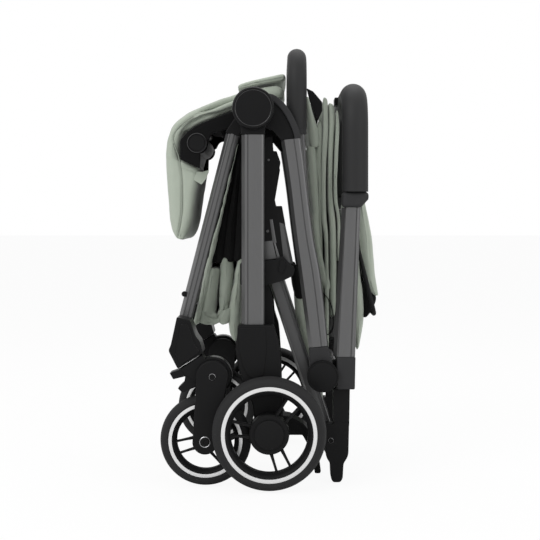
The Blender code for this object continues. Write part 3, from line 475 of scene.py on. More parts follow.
def grained_paint(name, color, roughness, tone, gloss, relief, metallic=0.0, specular=0.5):
    """Tone, gloss and relief start with a pattern; shades, roughnesses, or strength and depth follow."""
    paint = new_paint(name, color, roughness, metallic, specular)
    nodes = Nodes(paint)
    patterns = {}
    for size in [part[0] for part in (tone, gloss, relief) if part]:
        if size not in patterns:
            patterns[size] = nodes.noise(*size) if isinstance(size, tuple) else nodes.cells(size)
    if tone:
        size, dark, light = tone
        nodes.give("Base Color", nodes.mix(patterns[size], shade_of(color, dark), shade_of(color, light)))
    size, low, high = gloss
    nodes.give("Roughness", nodes.spread(patterns[size], low, high))
    size, strength, depth = relief
    nodes.bump((patterns[size], strength, depth))
    return paint


def moulded_paint(name, color, roughness, grain=1400.0, depth=0.00008):
    """Moulded plastic: fine grain, faint wear and uneven gloss."""
    patches = (35.0, 4.0)
    return grained_paint(name, color, roughness, (patches, 0.86, 1.16),
                         (patches, roughness - 0.05, roughness + 0.07), ((grain, 2.0), 0.3, depth),
                         specular=0.1)


def tube_paint(name, color):
    """Satin anodised tube: fine long brushing along the tube and soft changes of gloss."""
    brushing = (2600.0, 2.0, (1.0, 1.0, 0.02))
    return grained_paint(name, color, 0.38, (brushing, 0.93, 1.08), ((22.0, 3.0), 0.33, 0.45),
                         (brushing, 0.12, 0.00004), 0.65)


def metal_paint(name, color, roughness):
    scratches = (1800.0, 2.0, (1.0, 0.1, 1.0))
    return grained_paint(name, color, roughness, None, (scratches, roughness - 0.06, roughness + 0.08),
                         (scratches, 0.1, 0.00003), 1.0)


SAGE_COLOR = (0.385, 0.43, 0.36)
GUNMETAL = tube_paint("satin_gunmetal", (0.112, 0.112, 0.113))
DARK_TUBE = tube_paint("dark_gunmetal", (0.085, 0.085, 0.086))
BLACK = moulded_paint("matte_black_plastic", (0.007, 0.007, 0.0073), 0.48)
GLOSSY = moulded_paint("smooth_black_plastic", (0.0068, 0.0068, 0.0071), 0.3, 700.0, 0.00004)
CHARCOAL = moulded_paint("charcoal_plastic", (0.03, 0.03, 0.031), 0.5)
# Foam rubber is matte and dusty, with fine pores; leatherette has small cells with creases between them.
RUBBER = grained_paint("foam_rubber", (0.0145, 0.0145, 0.015), 0.78, ((55.0, 5.0), 0.8, 1.25),
                       ((55.0, 5.0), 0.68, 0.86), (1500.0, 0.25, 0.0001), specular=0.25)
LEATHER = grained_paint("grip_leatherette", (0.015, 0.015, 0.0155), 0.6, ((30.0, 3.0), 0.88, 1.14),
                        ((30.0, 3.0), 0.54, 0.66), (900.0, 0.4, 0.00012), specular=0.25)
SILVER = metal_paint("silver_ring", (0.72, 0.72, 0.72), 0.42)
STEEL = metal_paint("bolt_steel", (0.42, 0.42, 0.43), 0.3)
SAGE = cloth_paint("sage_cloth", SAGE_COLOR, 0.0011)
# A darker copy of the sage cloth: painted shade for the cord that lies in the side seam.
SAGE_SHADED = cloth_paint("sage_cloth_painted_shade", shade_of(SAGE_COLOR, 0.8), 0.0011)
LINING = cloth_paint("black_lining", (0.005, 0.005, 0.0052), 0.0013, 1.2, 0.7, 0.0003, 0.02, 0.88, 0.12)
WEBBING = cloth_paint("black_webbing", (0.006, 0.006, 0.0062), 0.002, 1.3, 0.6, 0.0005, 0.02, 0.7, 0.15)
NET = net_paint("black_net", (0.006, 0.006, 0.006))
SLOT_PAINTS = {"gunmetal_tube": (GUNMETAL, DARK_TUBE), "black_plastic": (BLACK, GLOSSY, CHARCOAL),
               "tyre_rubber": (RUBBER,), "grip_leatherette": (LEATHER,), "steel": (STEEL, SILVER),
               "sage_fabric": (SAGE, SAGE_SHADED), "black_mesh": (NET, LINING, WEBBING)}


# Camera, light and floor
CAMERA_PLACE = (0.008, -2.035, 0.421)
CAMERA_LENS = 78.05
CAMERA_SHIFT = (-0.013, -0.0926)
WHITE = (1.0, 1.0, 1.0, 1.0)
SKY_STRENGTH = 0.62
FLOOR_HALF = 30.0
FLOOR_SHARE = 0.92


def camera():
    data = bpy.data.cameras.new("camera")
    data.lens = CAMERA_LENS
    data.sensor_width = 36.0
    data.shift_x, data.shift_y = CAMERA_SHIFT
    made = bpy.data.objects.new("camera", data)
    made.location = CAMERA_PLACE
    made.rotation_euler = (math.pi / 2, 0, 0)
    bpy.context.scene.collection.objects.link(made)
    bpy.context.scene.camera = made


def soft_lamp(name, place, aim, size, power):
    data = bpy.data.lights.new(name, "AREA")
    data.shape = "RECTANGLE"
    data.size, data.size_y = size
    data.energy = power
    made = bpy.data.objects.new(name, data)
    made.location = place
    made.rotation_euler = (Vector(aim) - Vector(place)).to_track_quat("-Z", "Y").to_euler()
    bpy.context.scene.collection.objects.link(made)


def sky():
    """White where the camera, glossy or transmission rays see it, and a softer white light elsewhere."""
    world = bpy.data.worlds.new("studio")
    bpy.context.scene.world = world
    world.use_nodes = True
    tree = world.node_tree
    path = add_node(tree, "LightPath").outputs
    seen = path["Is Camera Ray"]
    for ray in ("Is Glossy Ray", "Is Transmission Ray"):
        seen = add_node(tree, "Math", {0: seen, 1: path[ray]}, operation="MAXIMUM").outputs[0]
    lit = add_node(tree, "Background", {"Color": WHITE, "Strength": SKY_STRENGTH}).outputs[0]
    white = add_node(tree, "Background", {"Color": WHITE, "Strength": 1.0}).outputs[0]
    mixed = add_node(tree, "MixShader", {0: seen, 1: lit, 2: white})
    tree.links.new(mixed.outputs[0], tree.nodes["World Output"].inputs["Surface"])


def floor():
    """A pale floor that takes a faint shadow, and is nearly plain white to the camera."""
    plane = bpy.data.meshes.new("floor")
    corners = ((-1, -1), (1, -1), (1, 1), (-1, 1))
    plane.from_pydata([(x * FLOOR_HALF, y * FLOOR_HALF, 0) for x, y in corners], [], [(0, 1, 2, 3)])
    made = bpy.data.objects.new("floor", plane)
    bpy.context.scene.collection.objects.link(made)
    made.location = (0, 0, -0.0015)
    paint = new_paint("pale_floor", (0.9, 0.9, 0.9), 0.9)
    plane.materials.append(paint)
    tree = paint.node_tree
    seen = add_node(tree, "LightPath").outputs["Is Camera Ray"]
    share = add_node(tree, "Math", {0: seen, 1: FLOOR_SHARE}, operation="MULTIPLY").outputs[0]
    glow = add_node(tree, "Emission", {"Color": WHITE}).outputs[0]
    shaded = tree.nodes["Principled BSDF"].outputs[0]
    mixed = add_node(tree, "MixShader", {0: share, 1: shaded, 2: glow})
    tree.links.new(mixed.outputs[0], tree.nodes["Material Output"].inputs["Surface"])


camera()
sky()
soft_lamp("key", (-1.6, -1.9, 2.1), (0, 0, 0.35), (1.6, 1.6), 34)
soft_lamp("fill", (1.9, -1.7, 1.2), (0, 0, 0.35), (1.2, 1.8), 15)
soft_lamp("top", (0.1, 0.5, 2.4), (0, 0, 0.4), (1.6, 1.6), 14)
floor()
bpy.context.scene.view_settings.view_transform = "Standard"


# Small fasteners
def bolts(name, side, body, face, places, height, paint):
    """Low round heads with a socket; each place is a centre and a radius."""
    shape = bmesh.new()
    top = face + height
    for center, radius in places:
        head = [(0, top - height * 0.7), (radius * 0.378, top - height * 0.7), (radius * 0.42, top - 0.0002),
                (radius * 0.62, top), (radius * 0.9, top - height * 0.25), (radius, top - height * 0.6),
                (radius, face - 0.0006), (0, face - 0.0006)]
        lathe_into(shape, center, head, side, 32)
    settle(finish_mesh(name, shape, paint, 32), body)


def thin_ring(name, side, body, center, face, radius, width, paint):
    inside = radius - width
    ring = [(inside, face - 0.0004), (inside, face + 0.0003), (radius - width / 2, face + 0.0007),
            (radius, face + 0.0003), (radius, face - 0.0004), (inside, face - 0.0004)]
    shape = bmesh.new()
    lathe_into(shape, center, ring, side)
    settle(finish_mesh(name, shape, paint), body)


def ringed_bolt(name, label, body, center, face, radius):
    """A dark bolt inside a thin bright ring."""
    name = "%s_%s" % (name, label)
    bolts(name, SIDES[label], body, face, [(center, radius * 0.86)], 0.0014, GLOSSY)
    thin_ring(name + "_ring", SIDES[label], body, center, face, radius, radius * 0.16, STEEL)


# Fixed frame
REAR_LEG_LOW, REAR_LEG_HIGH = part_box("rear_leg_left")
HOUSING_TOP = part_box("rear_housing_left")[1].z


def rear_leg(label):
    left, right = REAR_LEG_LOW.x, REAR_LEG_HIGH.x
    low, high = REAR_LEG_LOW.z, REAR_LEG_HIGH.z
    bar("rear_leg_tube", label, "chassis", [(left, low), (left, high)], [(right, low), (right, high)],
        REAR_LEG_IN, REAR_LEG_OUT, GUNMETAL, "rear_leg")

    socket = [Vector((left - 0.0012, high + 0.0002)), Vector((right + 0.0012, high + 0.0002)),
              Vector((right + 0.0006, high + 0.006)), *arc(HUB, 0.0318, -50, 230, 48),
              Vector((left - 0.0006, high + 0.006))]
    plate("hub_socket_shell", label, "chassis", socket, REAR_LEG_IN, REAR_LEG_OUT, BLACK, 0.0018,
          node="hub_socket")

    cover = faced(HUB_COVER_OUT, [(0, -0.9), (12, -1), (27.6, -1.4), (28.4, -2.4), (29.1, -2.4),
                                  (29.5, -0.4), (30.2, 0), (31.2, -0.3), (32.6, -1.6), (33.4, -3.6)])
    cover += faced(HUB_COVER_IN, [(33.4, 1), (32.4, 0), (0, 0)])
    turned("hub_cover_disc", label, "chassis", HUB, cover, GLOSSY, 128, "hub_cover")
    thin_ring("hub_ring_" + label, SIDES[label], "chassis", HUB, HUB_COVER_OUT - 0.002, 0.0292, 0.0012,
              DARK_TUBE)


def rear_housing(label):
    top = HOUSING_TOP * 1000
    front = smooth_line(mm([(-54, top), (-55, 240), (-57.2, 222.2), (-54, 193), (-47.7, 171.3), (-39, 150),
                            (-31, 129)]), 5)
    back = smooth_line(mm([(17.2, 129), (16.6, 150), (15.5, 175), (11.8, 222.2), (7, 240), (2.6, top)]), 5)
    plate("rear_housing_shell", label, "chassis", front + arc(REAR_AXLE, 0.0225, 172, 368, 28) + back,
          HOUSING_IN, HOUSING_OUT - 0.0012, BLACK, 0.0032, 4, "rear_housing")
    ridge = mm([(-52.5, top - 4), (-10, top - 4), (-8.5, 215), (-13, 175), (-33, 170), (-44, 185),
                (-52, 215)])
    plate("rear_housing_panel", label, "chassis", rounded_outline(ridge, 0.006), HOUSING_OUT - 0.003,
          HOUSING_OUT, BLACK, 0.0014)
    spur = mm([(-40, 248), (-40, 317), (-7, 318.6), (0.9, 294.9), (4, 248)])
    plate("rear_housing_spur", label, "chassis", rounded_outline(spur, 0.003), FRONT_IN + 0.001,
          FRONT_OUT - 0.001, BLACK, 0.0016)
    boss = faced(HOUSING_OUT, [(0, -0.4), (18, -0.4), (20, -1.4), (20, -4.4), (0, -4.4)])
    turned("axle_boss", label, "chassis", REAR_AXLE, boss, BLACK)


def strut_bracket(label):
    """The flat band behind the rear leg with its tube ends and rivets, and the clamp that holds the strut."""
    low, high = layer("strut_bracket")
    clamp = mm([(-51, 317), (-51, 352), (-44, 352), (-44, 380), (-18, 356), (6, 357), (16.1, 364),
                (36.6, 342.9), (33.7, 331.8), (18.9, 324.4), (-13.8, 315.3), (-18, 318.8), (-44, 317)])
    plate("strut_clamp", label, "chassis", rounded_outline(clamp, 0.0022), low, high - 0.0005, BLACK, 0.0022,
          node="strut_bracket")
    latch = mm([(9.5, 338.5), (13.5, 359), (20, 356), (22.5, 348), (16.5, 335)])
    plate("strut_latch", label, "chassis", rounded_outline(latch, 0.0025), high - 0.0005, high + 0.0016,
          GLOSSY, 0.0008)

    y_in, y_out = FRONT_IN + 0.001, FRONT_OUT - 0.001
    band = mm([(-40, 356), (-40, 550), (1, 556), (2, 532.4), (7.3, 532.4), (13.7, 514.2), (3.9, 456.8),
               (6.7, 443.5), (16.1, 443.8), (21.7, 412.9), (17, 390), (20, 362), (-20, 362)])
    plate("frame_band", label, "chassis", rounded_outline(band, 0.0018), y_in, y_out, BLACK, 0.0014)
    ends = (("frame_tube", [(9, 418), (16.1, 356)], [(21.2, 414), (34.5, 350)], DARK_TUBE, 0.0008),
            ("frame_end", [(-16, 386), (-19, 356)], [(5.5, 388), (14.5, 360)], GUNMETAL, 0.0012),
            ("frame_strip", [(-7, 422), (-2, 384)], [(2, 422), (8.5, 384)], DARK_TUBE, 0.0008))
    for name, left, right, paint, lift in ends:
        bar(name, label, "chassis", mm(left), mm(right), y_in + lift, y_out + lift, paint, grooves=(0.8,),
            corner=0.003, crown=0.0014)
    bolts("frame_rivets_" + label, SIDES[label], "chassis", y_out,
          [((-0.0072, 0.403), 0.0024), ((-0.0056, 0.518), 0.002)], 0.0012, DARK_TUBE)


# Wheels
def spoke_pairs(shape, axle, side, turn, start, reach, near_gap, far_gap, width, y_in, y_out):
    """Three pairs of thin bars that part a little towards the rim."""
    for heading in (turn, turn + 120, turn + 240):
        along = Vector((math.cos(math.radians(heading)), math.sin(math.radians(heading))))
        across = Vector((-along.y, along.x))
        for hand in (-1, 1):
            rows = []
            for step in range(7):
                share = step / 6
                middle = axle + along * (start + (reach - start) * share)
                middle += across * hand * (near_gap + (far_gap - near_gap) * share) / 2
                half = width / 2 * (1.25 - 0.5 * share + 0.35 * (2 * share - 1) ** 2)
                row = []
                for corner in range(12):
                    angle = 2 * math.pi * corner / 12
                    swell_x, swell_y = (math.copysign(abs(wave) ** 0.6, wave)
                                        for wave in (math.cos(angle), math.sin(angle)))
                    place = middle + across * half * swell_x
                    y = (y_in + y_out) / 2 + (y_out - y_in) / 2 * swell_y
                    row.append((place.x, side * y, place.y))
                rows.append(row)
            skin_rows(shape, rows)


def wheel(end_name, label, axle, ring_in, ring_out, barrel_in, hub_radius, spokes, turn, hub_rows):
    """Tyre, silver ring, rim with thin spoke pairs, and hub."""
    side = SIDES[label]
    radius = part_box(end_name + "_tyre_left")[1].z / 2
    y_in, y_out = layer(end_name + "_tyre")
    body = "%s_wheel_%s" % (end_name, label)
    name = end_name + "_wheel_%s_" + label
    width = y_out - y_in
    middle = (y_in + y_out) / 2
    seat = ring_in + 0.0002
    tread = []
    for step in range(25):
        angle = math.radians(-90 + 180 * step / 24)
        bulge = width / 2 * abs(math.sin(angle)) ** 1.35
        tread.append((ring_out + 0.0012 + (radius - ring_out - 0.0012) * math.cos(angle) ** 0.62,
                      middle + math.copysign(bulge, math.sin(angle)) * 0.985))
    profile = [(seat, y_in + 0.0016), (ring_out, y_in + 0.0012), *tread, (ring_out, y_out - 0.0012),
               (seat, y_out - 0.0016)]
    settle(lathe(name % "tyre", axle, profile, side, RUBBER, 144), body, "%s_tyre_%s" % (end_name, label))

    shape = bmesh.new()
    for out, face in ((1, y_out - 0.0013), (-1, y_in + 0.0013)):
        low, rise, lift = face - out * 0.0008, face + out * 0.000675, face + out * 0.0009
        band = [(ring_in, low), (ring_in + 0.0005, rise), ((ring_in + ring_out) / 2, lift),
                (ring_out - 0.0005, rise), (ring_out, low)]
        lathe_into(shape, axle, band, side, 144)
    settle(finish_mesh(name % "ring", shape, SILVER, 40), body)

    shape = bmesh.new()
    slope = barrel_in + (ring_in - barrel_in) * 0.45
    barrel = [(barrel_in, y_in + width * 0.24), (slope, y_in + 0.003), (ring_in - 0.0012, y_in + 0.0018),
              (ring_in, y_in + 0.0026), (ring_in, y_out - 0.0026), (ring_in - 0.0012, y_out - 0.0018),
              (slope, y_out - 0.003), (barrel_in, y_out - width * 0.24),
              (barrel_in - 0.0016, y_out - width * 0.3), (barrel_in - 0.0016, y_in + width * 0.3)]
    lathe_into(shape, axle, barrel, side, 144)
    spoke_pairs(shape, axle, side, turn, hub_radius * 0.8, barrel_in + 0.002, *spokes, middle - width * 0.1,
                middle + width * 0.22)
    settle(finish_mesh(name % "rim", shape, BLACK, 34), body, "%s_rim_%s" % (end_name, label))

    near_rows, far_rows = hub_rows
    hub = [(hub_radius * share, y_out + step) for share, step in near_rows]
    hub += [(hub_radius * share, y_in + step) for share, step in far_rows]
    settle(lathe(name % "hub", axle, hub, side, BLACK), body)


CAPPED_HUB = ([(0, 0.0004), (0.66, 0.0004), (0.73, -0.0004), (0.75, -0.0014), (0.75, -0.0046),
               (0.95, -0.005), (1, -0.0066)], [(1, 0.004), (0.9, 0.003), (0, 0.003)])
OPEN_HUB = ([(0, -0.004), (0.86, -0.004), (1, -0.0056)], [(1, 0.0046), (0.86, 0.003), (0, 0.003)])


def wheels():
    for label in SIDES:
        wheel("rear", label, REAR_AXLE, 0.068, 0.0748, 0.0618, 0.031, (0.0165, 0.0235, 0.0042), 52,
              CAPPED_HUB)
        wheel("front", label, FRONT_AXLE, 0.0528, 0.059, 0.0472, 0.017, (0.016, 0.0195, 0.0038), 195,
              OPEN_HUB)


# Armrest links
ELBOW_BAND = 0.0105


def armrest(label):
    left = mm([(14.4, 548.6), (24.6, 480), (33.5, 406.6), (44.4, 326.9), (59, 216.8)])
    right = mm([(46.3, 552), (52.7, 505.6), (65.4, 400.3), (78.8, 326.9), (90.2, 220)])
    bar("armrest_tube_bar", label, "armrests", smooth_line(left), smooth_line(right), ARMREST_IN,
        ARMREST_OUT, GUNMETAL, "armrest_tube", grooves=(0.64,), stations=28)

    outer = smooth_line(mm([(46.3, 552.4), (43.2, 565), (37.2, 580), (28.5, 596), (18, 609.5), (4.5, 620.5),
                            (-10, 624.5)]), 6)
    inner = []
    for index, point in enumerate(outer):
        along = (outer[min(index + 1, len(outer) - 1)] - outer[max(index - 1, 0)]).normalized()
        inner.append(point + Vector((-along.y, along.x)) * ELBOW_BAND)
    web = [Vector((0.0144, 0.5489)), *inner, *arc(HUB, 0.0288, 62, 292, 40), Vector((0.001, 0.565))]
    plate("armrest_elbow_web", label, "armrests", web, ARMREST_IN + 0.003, ARMREST_OUT - 0.004, BLACK, 0.001,
          node="armrest_elbow")
    plate("armrest_elbow_band", label, "armrests", outer + inner[::-1], ARMREST_IN, ARMREST_OUT, CHARCOAL,
          0.003, 4)
    end = [*mm([(90.2, 219.7), (59, 216.5)]), *arc(LAP_PIVOT, 0.0215, 165, 390, 40)]
    plate("armrest_end_shell", label, "armrests", end, ARMREST_IN, ARMREST_OUT, CHARCOAL, 0.003, 4,
          "armrest_end")

    radius = (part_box("lap_cap_left")[1].x - LAP_PIVOT.x) * 1000
    cap = faced(LAP_CAP_OUT, [(0, -0.2), (radius - 4.2, -0.4), (radius - 3, -1), (radius - 2.4, -1),
                              (radius - 1.8, -0.2), (radius - 1, -0.4), (radius, -1.8)])
    cap += faced(LAP_CAP_IN, [(radius, 0), (0, 0)])
    turned("lap_cap_disc", label, "armrests", LAP_PIVOT, cap, BLACK, 112, "lap_cap")


# Padded bars
BUMPER_RADIUS = 0.0158
BUMPER_X = 0.0407
BUMPER_FOOT = 0.568
GRIP_RADIUS = 0.0213
GRIP_X = 0.1332
SEAM_DEPTH = 0.0009
SEAM_DEGREES = 7


def padded_section(radius, sides=40):
    """A round padded section with a sewn seam sunk into its far side."""
    ring = []
    for corner in range(sides):
        angle = 2 * math.pi * corner / sides
        away = math.degrees(angle) - 180
        size = radius - SEAM_DEPTH * math.exp(-(away / SEAM_DEGREES) ** 2)
        ring.append((size * math.cos(angle), size * math.sin(angle)))
    return lambda index, share: ring


def padded_loop(name, node, body, x, y, foot, top, radius, bend, steps, count):
    """A padded bar that rises at one side, crosses and comes down at the other."""
    path = rounded_path([(x, -y, foot), (x, -y, top), (x, y, top), (x, y, foot)], bend, steps)
    shape = bmesh.new()
    sweep_into(shape, even_line(path, count), padded_section(radius))
    settle(finish_mesh(name, shape, LEATHER, 60), body, node)


def bumper_bar():
    low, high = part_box("bumper_bar")
    y = (high.y - low.y) / 2 - BUMPER_RADIUS
    padded_loop("bumper_grip", "bumper_bar", "bumper", BUMPER_X, y, BUMPER_FOOT, high.z - BUMPER_RADIUS,
                BUMPER_RADIUS, 0.056, 18, 90)
    shape = bmesh.new()
    for side in (-1, 1):
        ends = [Vector((BUMPER_X, side * y, BUMPER_FOOT + step)) for step in (-0.0075, 0.0002)]
        sweep_into(shape, ends, round_section(BUMPER_RADIUS * 0.98, 40))
    settle(finish_mesh("bumper_rings", shape, CHARCOAL, 35), "bumper")
    left = smooth_line(mm([(37.2, 561), (43, 505), (50, 456)]))
    right = smooth_line(mm([(53.5, 561), (56.5, 505), (59, 456)]))
    for label in SIDES:
        bar("bumper_stem", label, "bumper", left, right, y - 0.0065, y + 0.0065, DARK_TUBE, grooves=(),
            corner=0.004, crown=0.001, stations=12)


COLLAR_LOW, COLLAR_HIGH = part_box("handle_collar_left")
HANDLE_LOW, HANDLE_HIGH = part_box("handle_tube_left")


def handle_grip():
    padded_loop("handle_grip_cover", "handle_grip", "handle", GRIP_X, (ARMREST_IN + ARMREST_OUT) / 2,
                COLLAR_HIGH.z + 0.0002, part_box("handle_grip")[1].z - GRIP_RADIUS, GRIP_RADIUS, 0.062, 20,
                110)


def handle_side(label):
    low, high = HANDLE_LOW.z, HANDLE_HIGH.z
    bar("handle_tube_bar", label, "handle", [(0.0981, low), (0.1117, high)], [(0.1332, low), (0.142, high)],
        ARMREST_IN, ARMREST_OUT, GUNMETAL, "handle_tube", grooves=(0.2, 0.8), crown=0.0024)

    low, high = COLLAR_LOW.z, COLLAR_HIGH.z
    front, back = GRIP_X - GRIP_RADIUS, GRIP_X + GRIP_RADIUS
    collar = [(0.1115, low), (0.1422, low), (back - 0.0006, high - 0.0125), (back, high - 0.009),
              (back, high), (front, high), (front, high - 0.009)]
    plate("handle_collar_shell", label, "handle", collar, COLLAR_IN, COLLAR_OUT, CHARCOAL, 0.006, 5,
          "handle_collar")

    top = HANDLE_LOW.z - 0.0003
    bottom = 0.15
    block = rounded_outline([(0.1037, top), (0.1336, top), (0.1325, bottom), (0.1037, bottom)], 0.0025)
    plate("lap_block", label, "handle", block, FRONT_IN + 0.01, ARMREST_OUT, CHARCOAL, 0.003, 4,
          "handle_joint")
    tongue = arc(LAP_PIVOT, 0.019, 80, 280, 28) + [(0.129, bottom + 0.001), (0.129, top - 0.001)]
    plate("lap_tongue", label, "handle", tongue, FRONT_IN, FRONT_OUT)

    arm_out = ARMREST_IN + 0.01
    shank = mm([(98.5, 149.7), (125, 149.7), (124, 90), (98.5, 90)])
    plate("handle_arm_shank", label, "handle", rounded_outline(shank, 0.001), FRONT_IN + 0.001,
          arm_out - 0.001, BLACK, 0.005, 5, "handle_arm")
    shoe = mm([(86, 93.5), (99, 93.5), (100, 96.5), (123.8, 96.5), (122.6, 42), (114.8, 30), (113.5, 6),
               (109.5, 0), (98, 0), (94.5, 6), (93.2, 30), (86, 42)])
    radii = [0.003, 0.001, 0.001, 0.003, 0.008, 0.004, 0.004, 0.003, 0.003, 0.004, 0.004, 0.008]
    plate("handle_foot", label, "handle", rounded_outline(shoe, radii), FRONT_IN, arm_out, BLACK, 0.0025, 4)
    ringed_bolt("foot_screw", label, "handle", (0.0945, 0.067), arm_out, 0.0044)


# Struts
STRUT_FOOT = Vector((0.0962, 0.0493))
STRUT_WIDTH = 0.0245


def strut(label):
    along = (STRUT_FOOT - STRUT_TOP).normalized()
    across = Vector((along.y, -along.x)) * STRUT_WIDTH / 2
    start = STRUT_TOP - along * 0.012
    end = STRUT_FOOT - along * 0.01
    y_in, y_out = layer("strut")
    bar("strut_tube", label, "struts", [end + across, start + across], [end - across, start - across], y_in,
        y_out, DARK_TUBE, "strut", grooves=(0.8,), corner=0.004, crown=0.0012)
    heading = math.degrees(math.atan2(along.y, along.x))
    tip = arc(STRUT_FOOT, STRUT_WIDTH / 2 - 0.0004, heading - 90, heading + 90, 24)
    tip += [end - along * 0.004 - across * 0.96, end - along * 0.004 + across * 0.96]
    plate("strut_end", label, "struts", tip, y_in + 0.0006, y_out - 0.0006)


# Front frame
FRONT_LEG_TOP = Vector((-0.0601, 0.575))
FRONT_LEG_BOTTOM = Vector((-0.1395, 0.2654))
FRONT_LEG_WIDTH = 0.0219
FORK_CROWN = Vector((-0.0938, 0.1744))
SWIVEL_POINT = side_view(joint_place("caster_swivel_left"))
SWIVEL_TILT = math.radians(-57.3)


def front_leg(label):
    along = (FRONT_LEG_BOTTOM - FRONT_LEG_TOP).normalized()
    across = Vector((along.y, -along.x)) * (FRONT_LEG_WIDTH / 2)
    top = FRONT_LEG_TOP + along * 0.013
    bar("front_leg_tube", label, "front_frame", [FRONT_LEG_BOTTOM + across, top + across],
        [FRONT_LEG_BOTTOM - across, top - across], FRONT_IN, FRONT_OUT, GUNMETAL, "front_leg",
        grooves=(0.34, 0.66), corner=0.005, crown=0.0022)
    knuckle = arc(HUB, 0.0188, 150, -70, 28)
    knuckle += [top + along * rise + across * share
                for rise, share in ((0, -1.02), (0.004, -1.02), (0.004, 1.02), (0, 1.02))]
    plate("front_leg_knuckle", label, "front_frame", knuckle, FRONT_IN, FRONT_OUT, BLACK, 0.0016)

    back = SWIVEL_POINT + Vector((0.0193, 0.012))
    front = SWIVEL_POINT + Vector((-0.0209, -0.0129))
    low = FRONT_LEG_BOTTOM + along * 0.0003
    behind = [back + step for step in mm([(-12, 27), (-5, 18), (0, 0)])]
    ahead = [front + step for step in mm([(0, 0), (-14.8, 29), (-11, 37)])]
    radii = [0.002, 0.002, 0.004, 0.003, 0.002, 0.003, 0.006, 0.004]
    plate("front_foot_shell", label, "front_frame",
          rounded_outline([low + across, low - across, *behind, *ahead], radii), FRONT_IN, FOOT_OUT - 0.002,
          GLOSSY, 0.005, 5, "front_foot")
    inset = [low + across * 0.2 + along * 0.008, low - across * 0.9 + along * 0.006]
    inset += [back + step for step in mm([(-14, 17), (-4, 2)])] + [front + step for step in mm([(6, 6),
                                                                                                (-4, 24)])]
    plate("front_foot_panel", label, "front_frame", rounded_outline(inset, 0.004), FOOT_OUT - 0.004,
          FOOT_OUT, GLOSSY, 0.0018, 4)
    knob = faced((FRONT_IN + FRONT_OUT) / 2, [(0, 6), (3, 5.6), (4.4, 3), (4.4, -2), (0, -2)])
    spot = FRONT_LEG_BOTTOM - along * 0.034 + across * 1.05
    turned("front_leg_knob", label, "front_frame", spot, knob, BLACK, 24, sharp_deg=38)


def caster(label):
    """The swivel head, its wing, and the two fork arms with the axle's bolt."""
    body = "caster_" + label
    low, high = FORK_IN + 0.01, FORK_OUT - 0.01
    outline = arc(FORK_CROWN, 0.0255, -5, 190, 40) + arc(FRONT_AXLE, 0.02, 185, 355, 32)
    plate("fork_arm_outer", label, body, outline, high, FORK_OUT, BLACK, 0.0024, 4, "caster_fork")
    plate("fork_arm_inner", label, body, outline, FORK_IN, low, BLACK, 0.0024, 4)
    disc = faced(high, [(0, -1), (28.5, -1), (30.5, -3)]) + faced(low, [(30.5, 3), (28.5, 1), (0, 1)])
    turned("fork_crown_disc", label, body, FORK_CROWN, disc, GLOSSY)

    axis = Vector((math.cos(SWIVEL_TILT), math.sin(SWIVEL_TILT)))
    square = Vector((-axis.y, axis.x))
    near = SWIVEL_POINT + axis * 0.0022
    crown = FORK_CROWN + axis * 0.002
    head = [near + square * 0.0195, near - square * 0.0205, near - square * 0.0205 + axis * 0.01,
            crown - square * 0.023, crown + square * 0.023, near + square * 0.0195 + axis * 0.01]
    plate("swivel_head", label, body, rounded_outline(head, 0.003), FORK_IN + 0.008, FORK_OUT - 0.0095,
          BLACK, 0.003, 4)
    wing = mm([(-161.7, 179.2), (-148, 184.2), (-126, 197.2), (-109, 207), (-98, 190), (-104, 164),
               (-125.8, 155), (-141.7, 148), (-148.8, 155), (-138.5, 165), (-137, 174), (-156.1, 169.3)])
    plate("swivel_wing", label, body, rounded_outline(wing, 0.0012), FORK_IN + 0.009, FORK_OUT - 0.011,
          BLACK, 0.001)
    ringed_bolt("fork_bolt", label, body, FORK_CROWN, FORK_OUT, 0.0052)
    ringed_bolt("fork_axle_bolt", label, body, FRONT_AXLE, FORK_OUT, 0.0086)


for side_label in SIDES:
    for build in (rear_leg, rear_housing, strut_bracket, armrest, handle_side, strut, front_leg, caster):
        build(side_label)
wheels()
bumper_bar()
handle_grip()


# Soft pieces: bodies between two matched edges seen from the side, carried across the seat
def pad_section(half_thick, half_width, corner, along, across, bend):
    """Pairs of thickness and width round a rectangle with round corners."""
    corner = min(corner, half_thick)
    flat_u = half_thick - corner
    flat_y = half_width - corner
    ring = []
    for first, second in ((1, 1), (-1, 1), (-1, -1), (1, -1)):
        turned = first != second
        for step in range(bend + 1):
            angle = math.pi / 2 * step / bend
            near, far = (math.sin(angle), math.cos(angle)) if turned else (math.cos(angle), math.sin(angle))
            ring.append((first * (flat_u + corner * near), second * (flat_y + corner * far)))
        count = across if turned else along
        u, y = ring[-1]
        for step in range(1, count):
            share = 1 - 2 * step / count
            ring.append((u, y * share) if turned else (u * share, y))
    return ring


def end_fullness(index, last, rounded):
    """How full a strip is near its ends, over the given number of stations."""
    near = min(index, last - index)
    if near >= rounded:
        return 1.0
    return math.sqrt(max(1 - (1 - near / rounded) ** 2, 0.012))


def soft_strip(shape, left, right, half_width, steps=6, corner=0.012, rounded=2, along=4, across=20, bend=5,
               wave=None):
    """wave(share, y) is how far the strip swings along x at a height and a place across."""
    pairs = list(zip(smooth_line(left, steps), smooth_line(right, steps)))
    last = len(pairs) - 1
    rows = []
    for index, (first, second) in enumerate(pairs):
        middle = (first + second) / 2
        half = (second - first).length / 2
        toward = (second - first).normalized()
        half_thick = max(half * end_fullness(index, last, rounded), 0.0004)
        row = []
        for u, y in pad_section(half_thick, half_width, corner, along, across, bend):
            place = middle + toward * u
            swing = wave(index / last, y) if wave else 0.0
            row.append(Vector((place.x + swing, y, place.y)))
        rows.append(row)
    skin_rows(shape, rows)


def edge_pair(rows):
    """Two matched edges from rows of x and z of one and x and z of the other, in millimetres."""
    return mm([row[:2] for row in rows]), mm([row[2:] for row in rows])


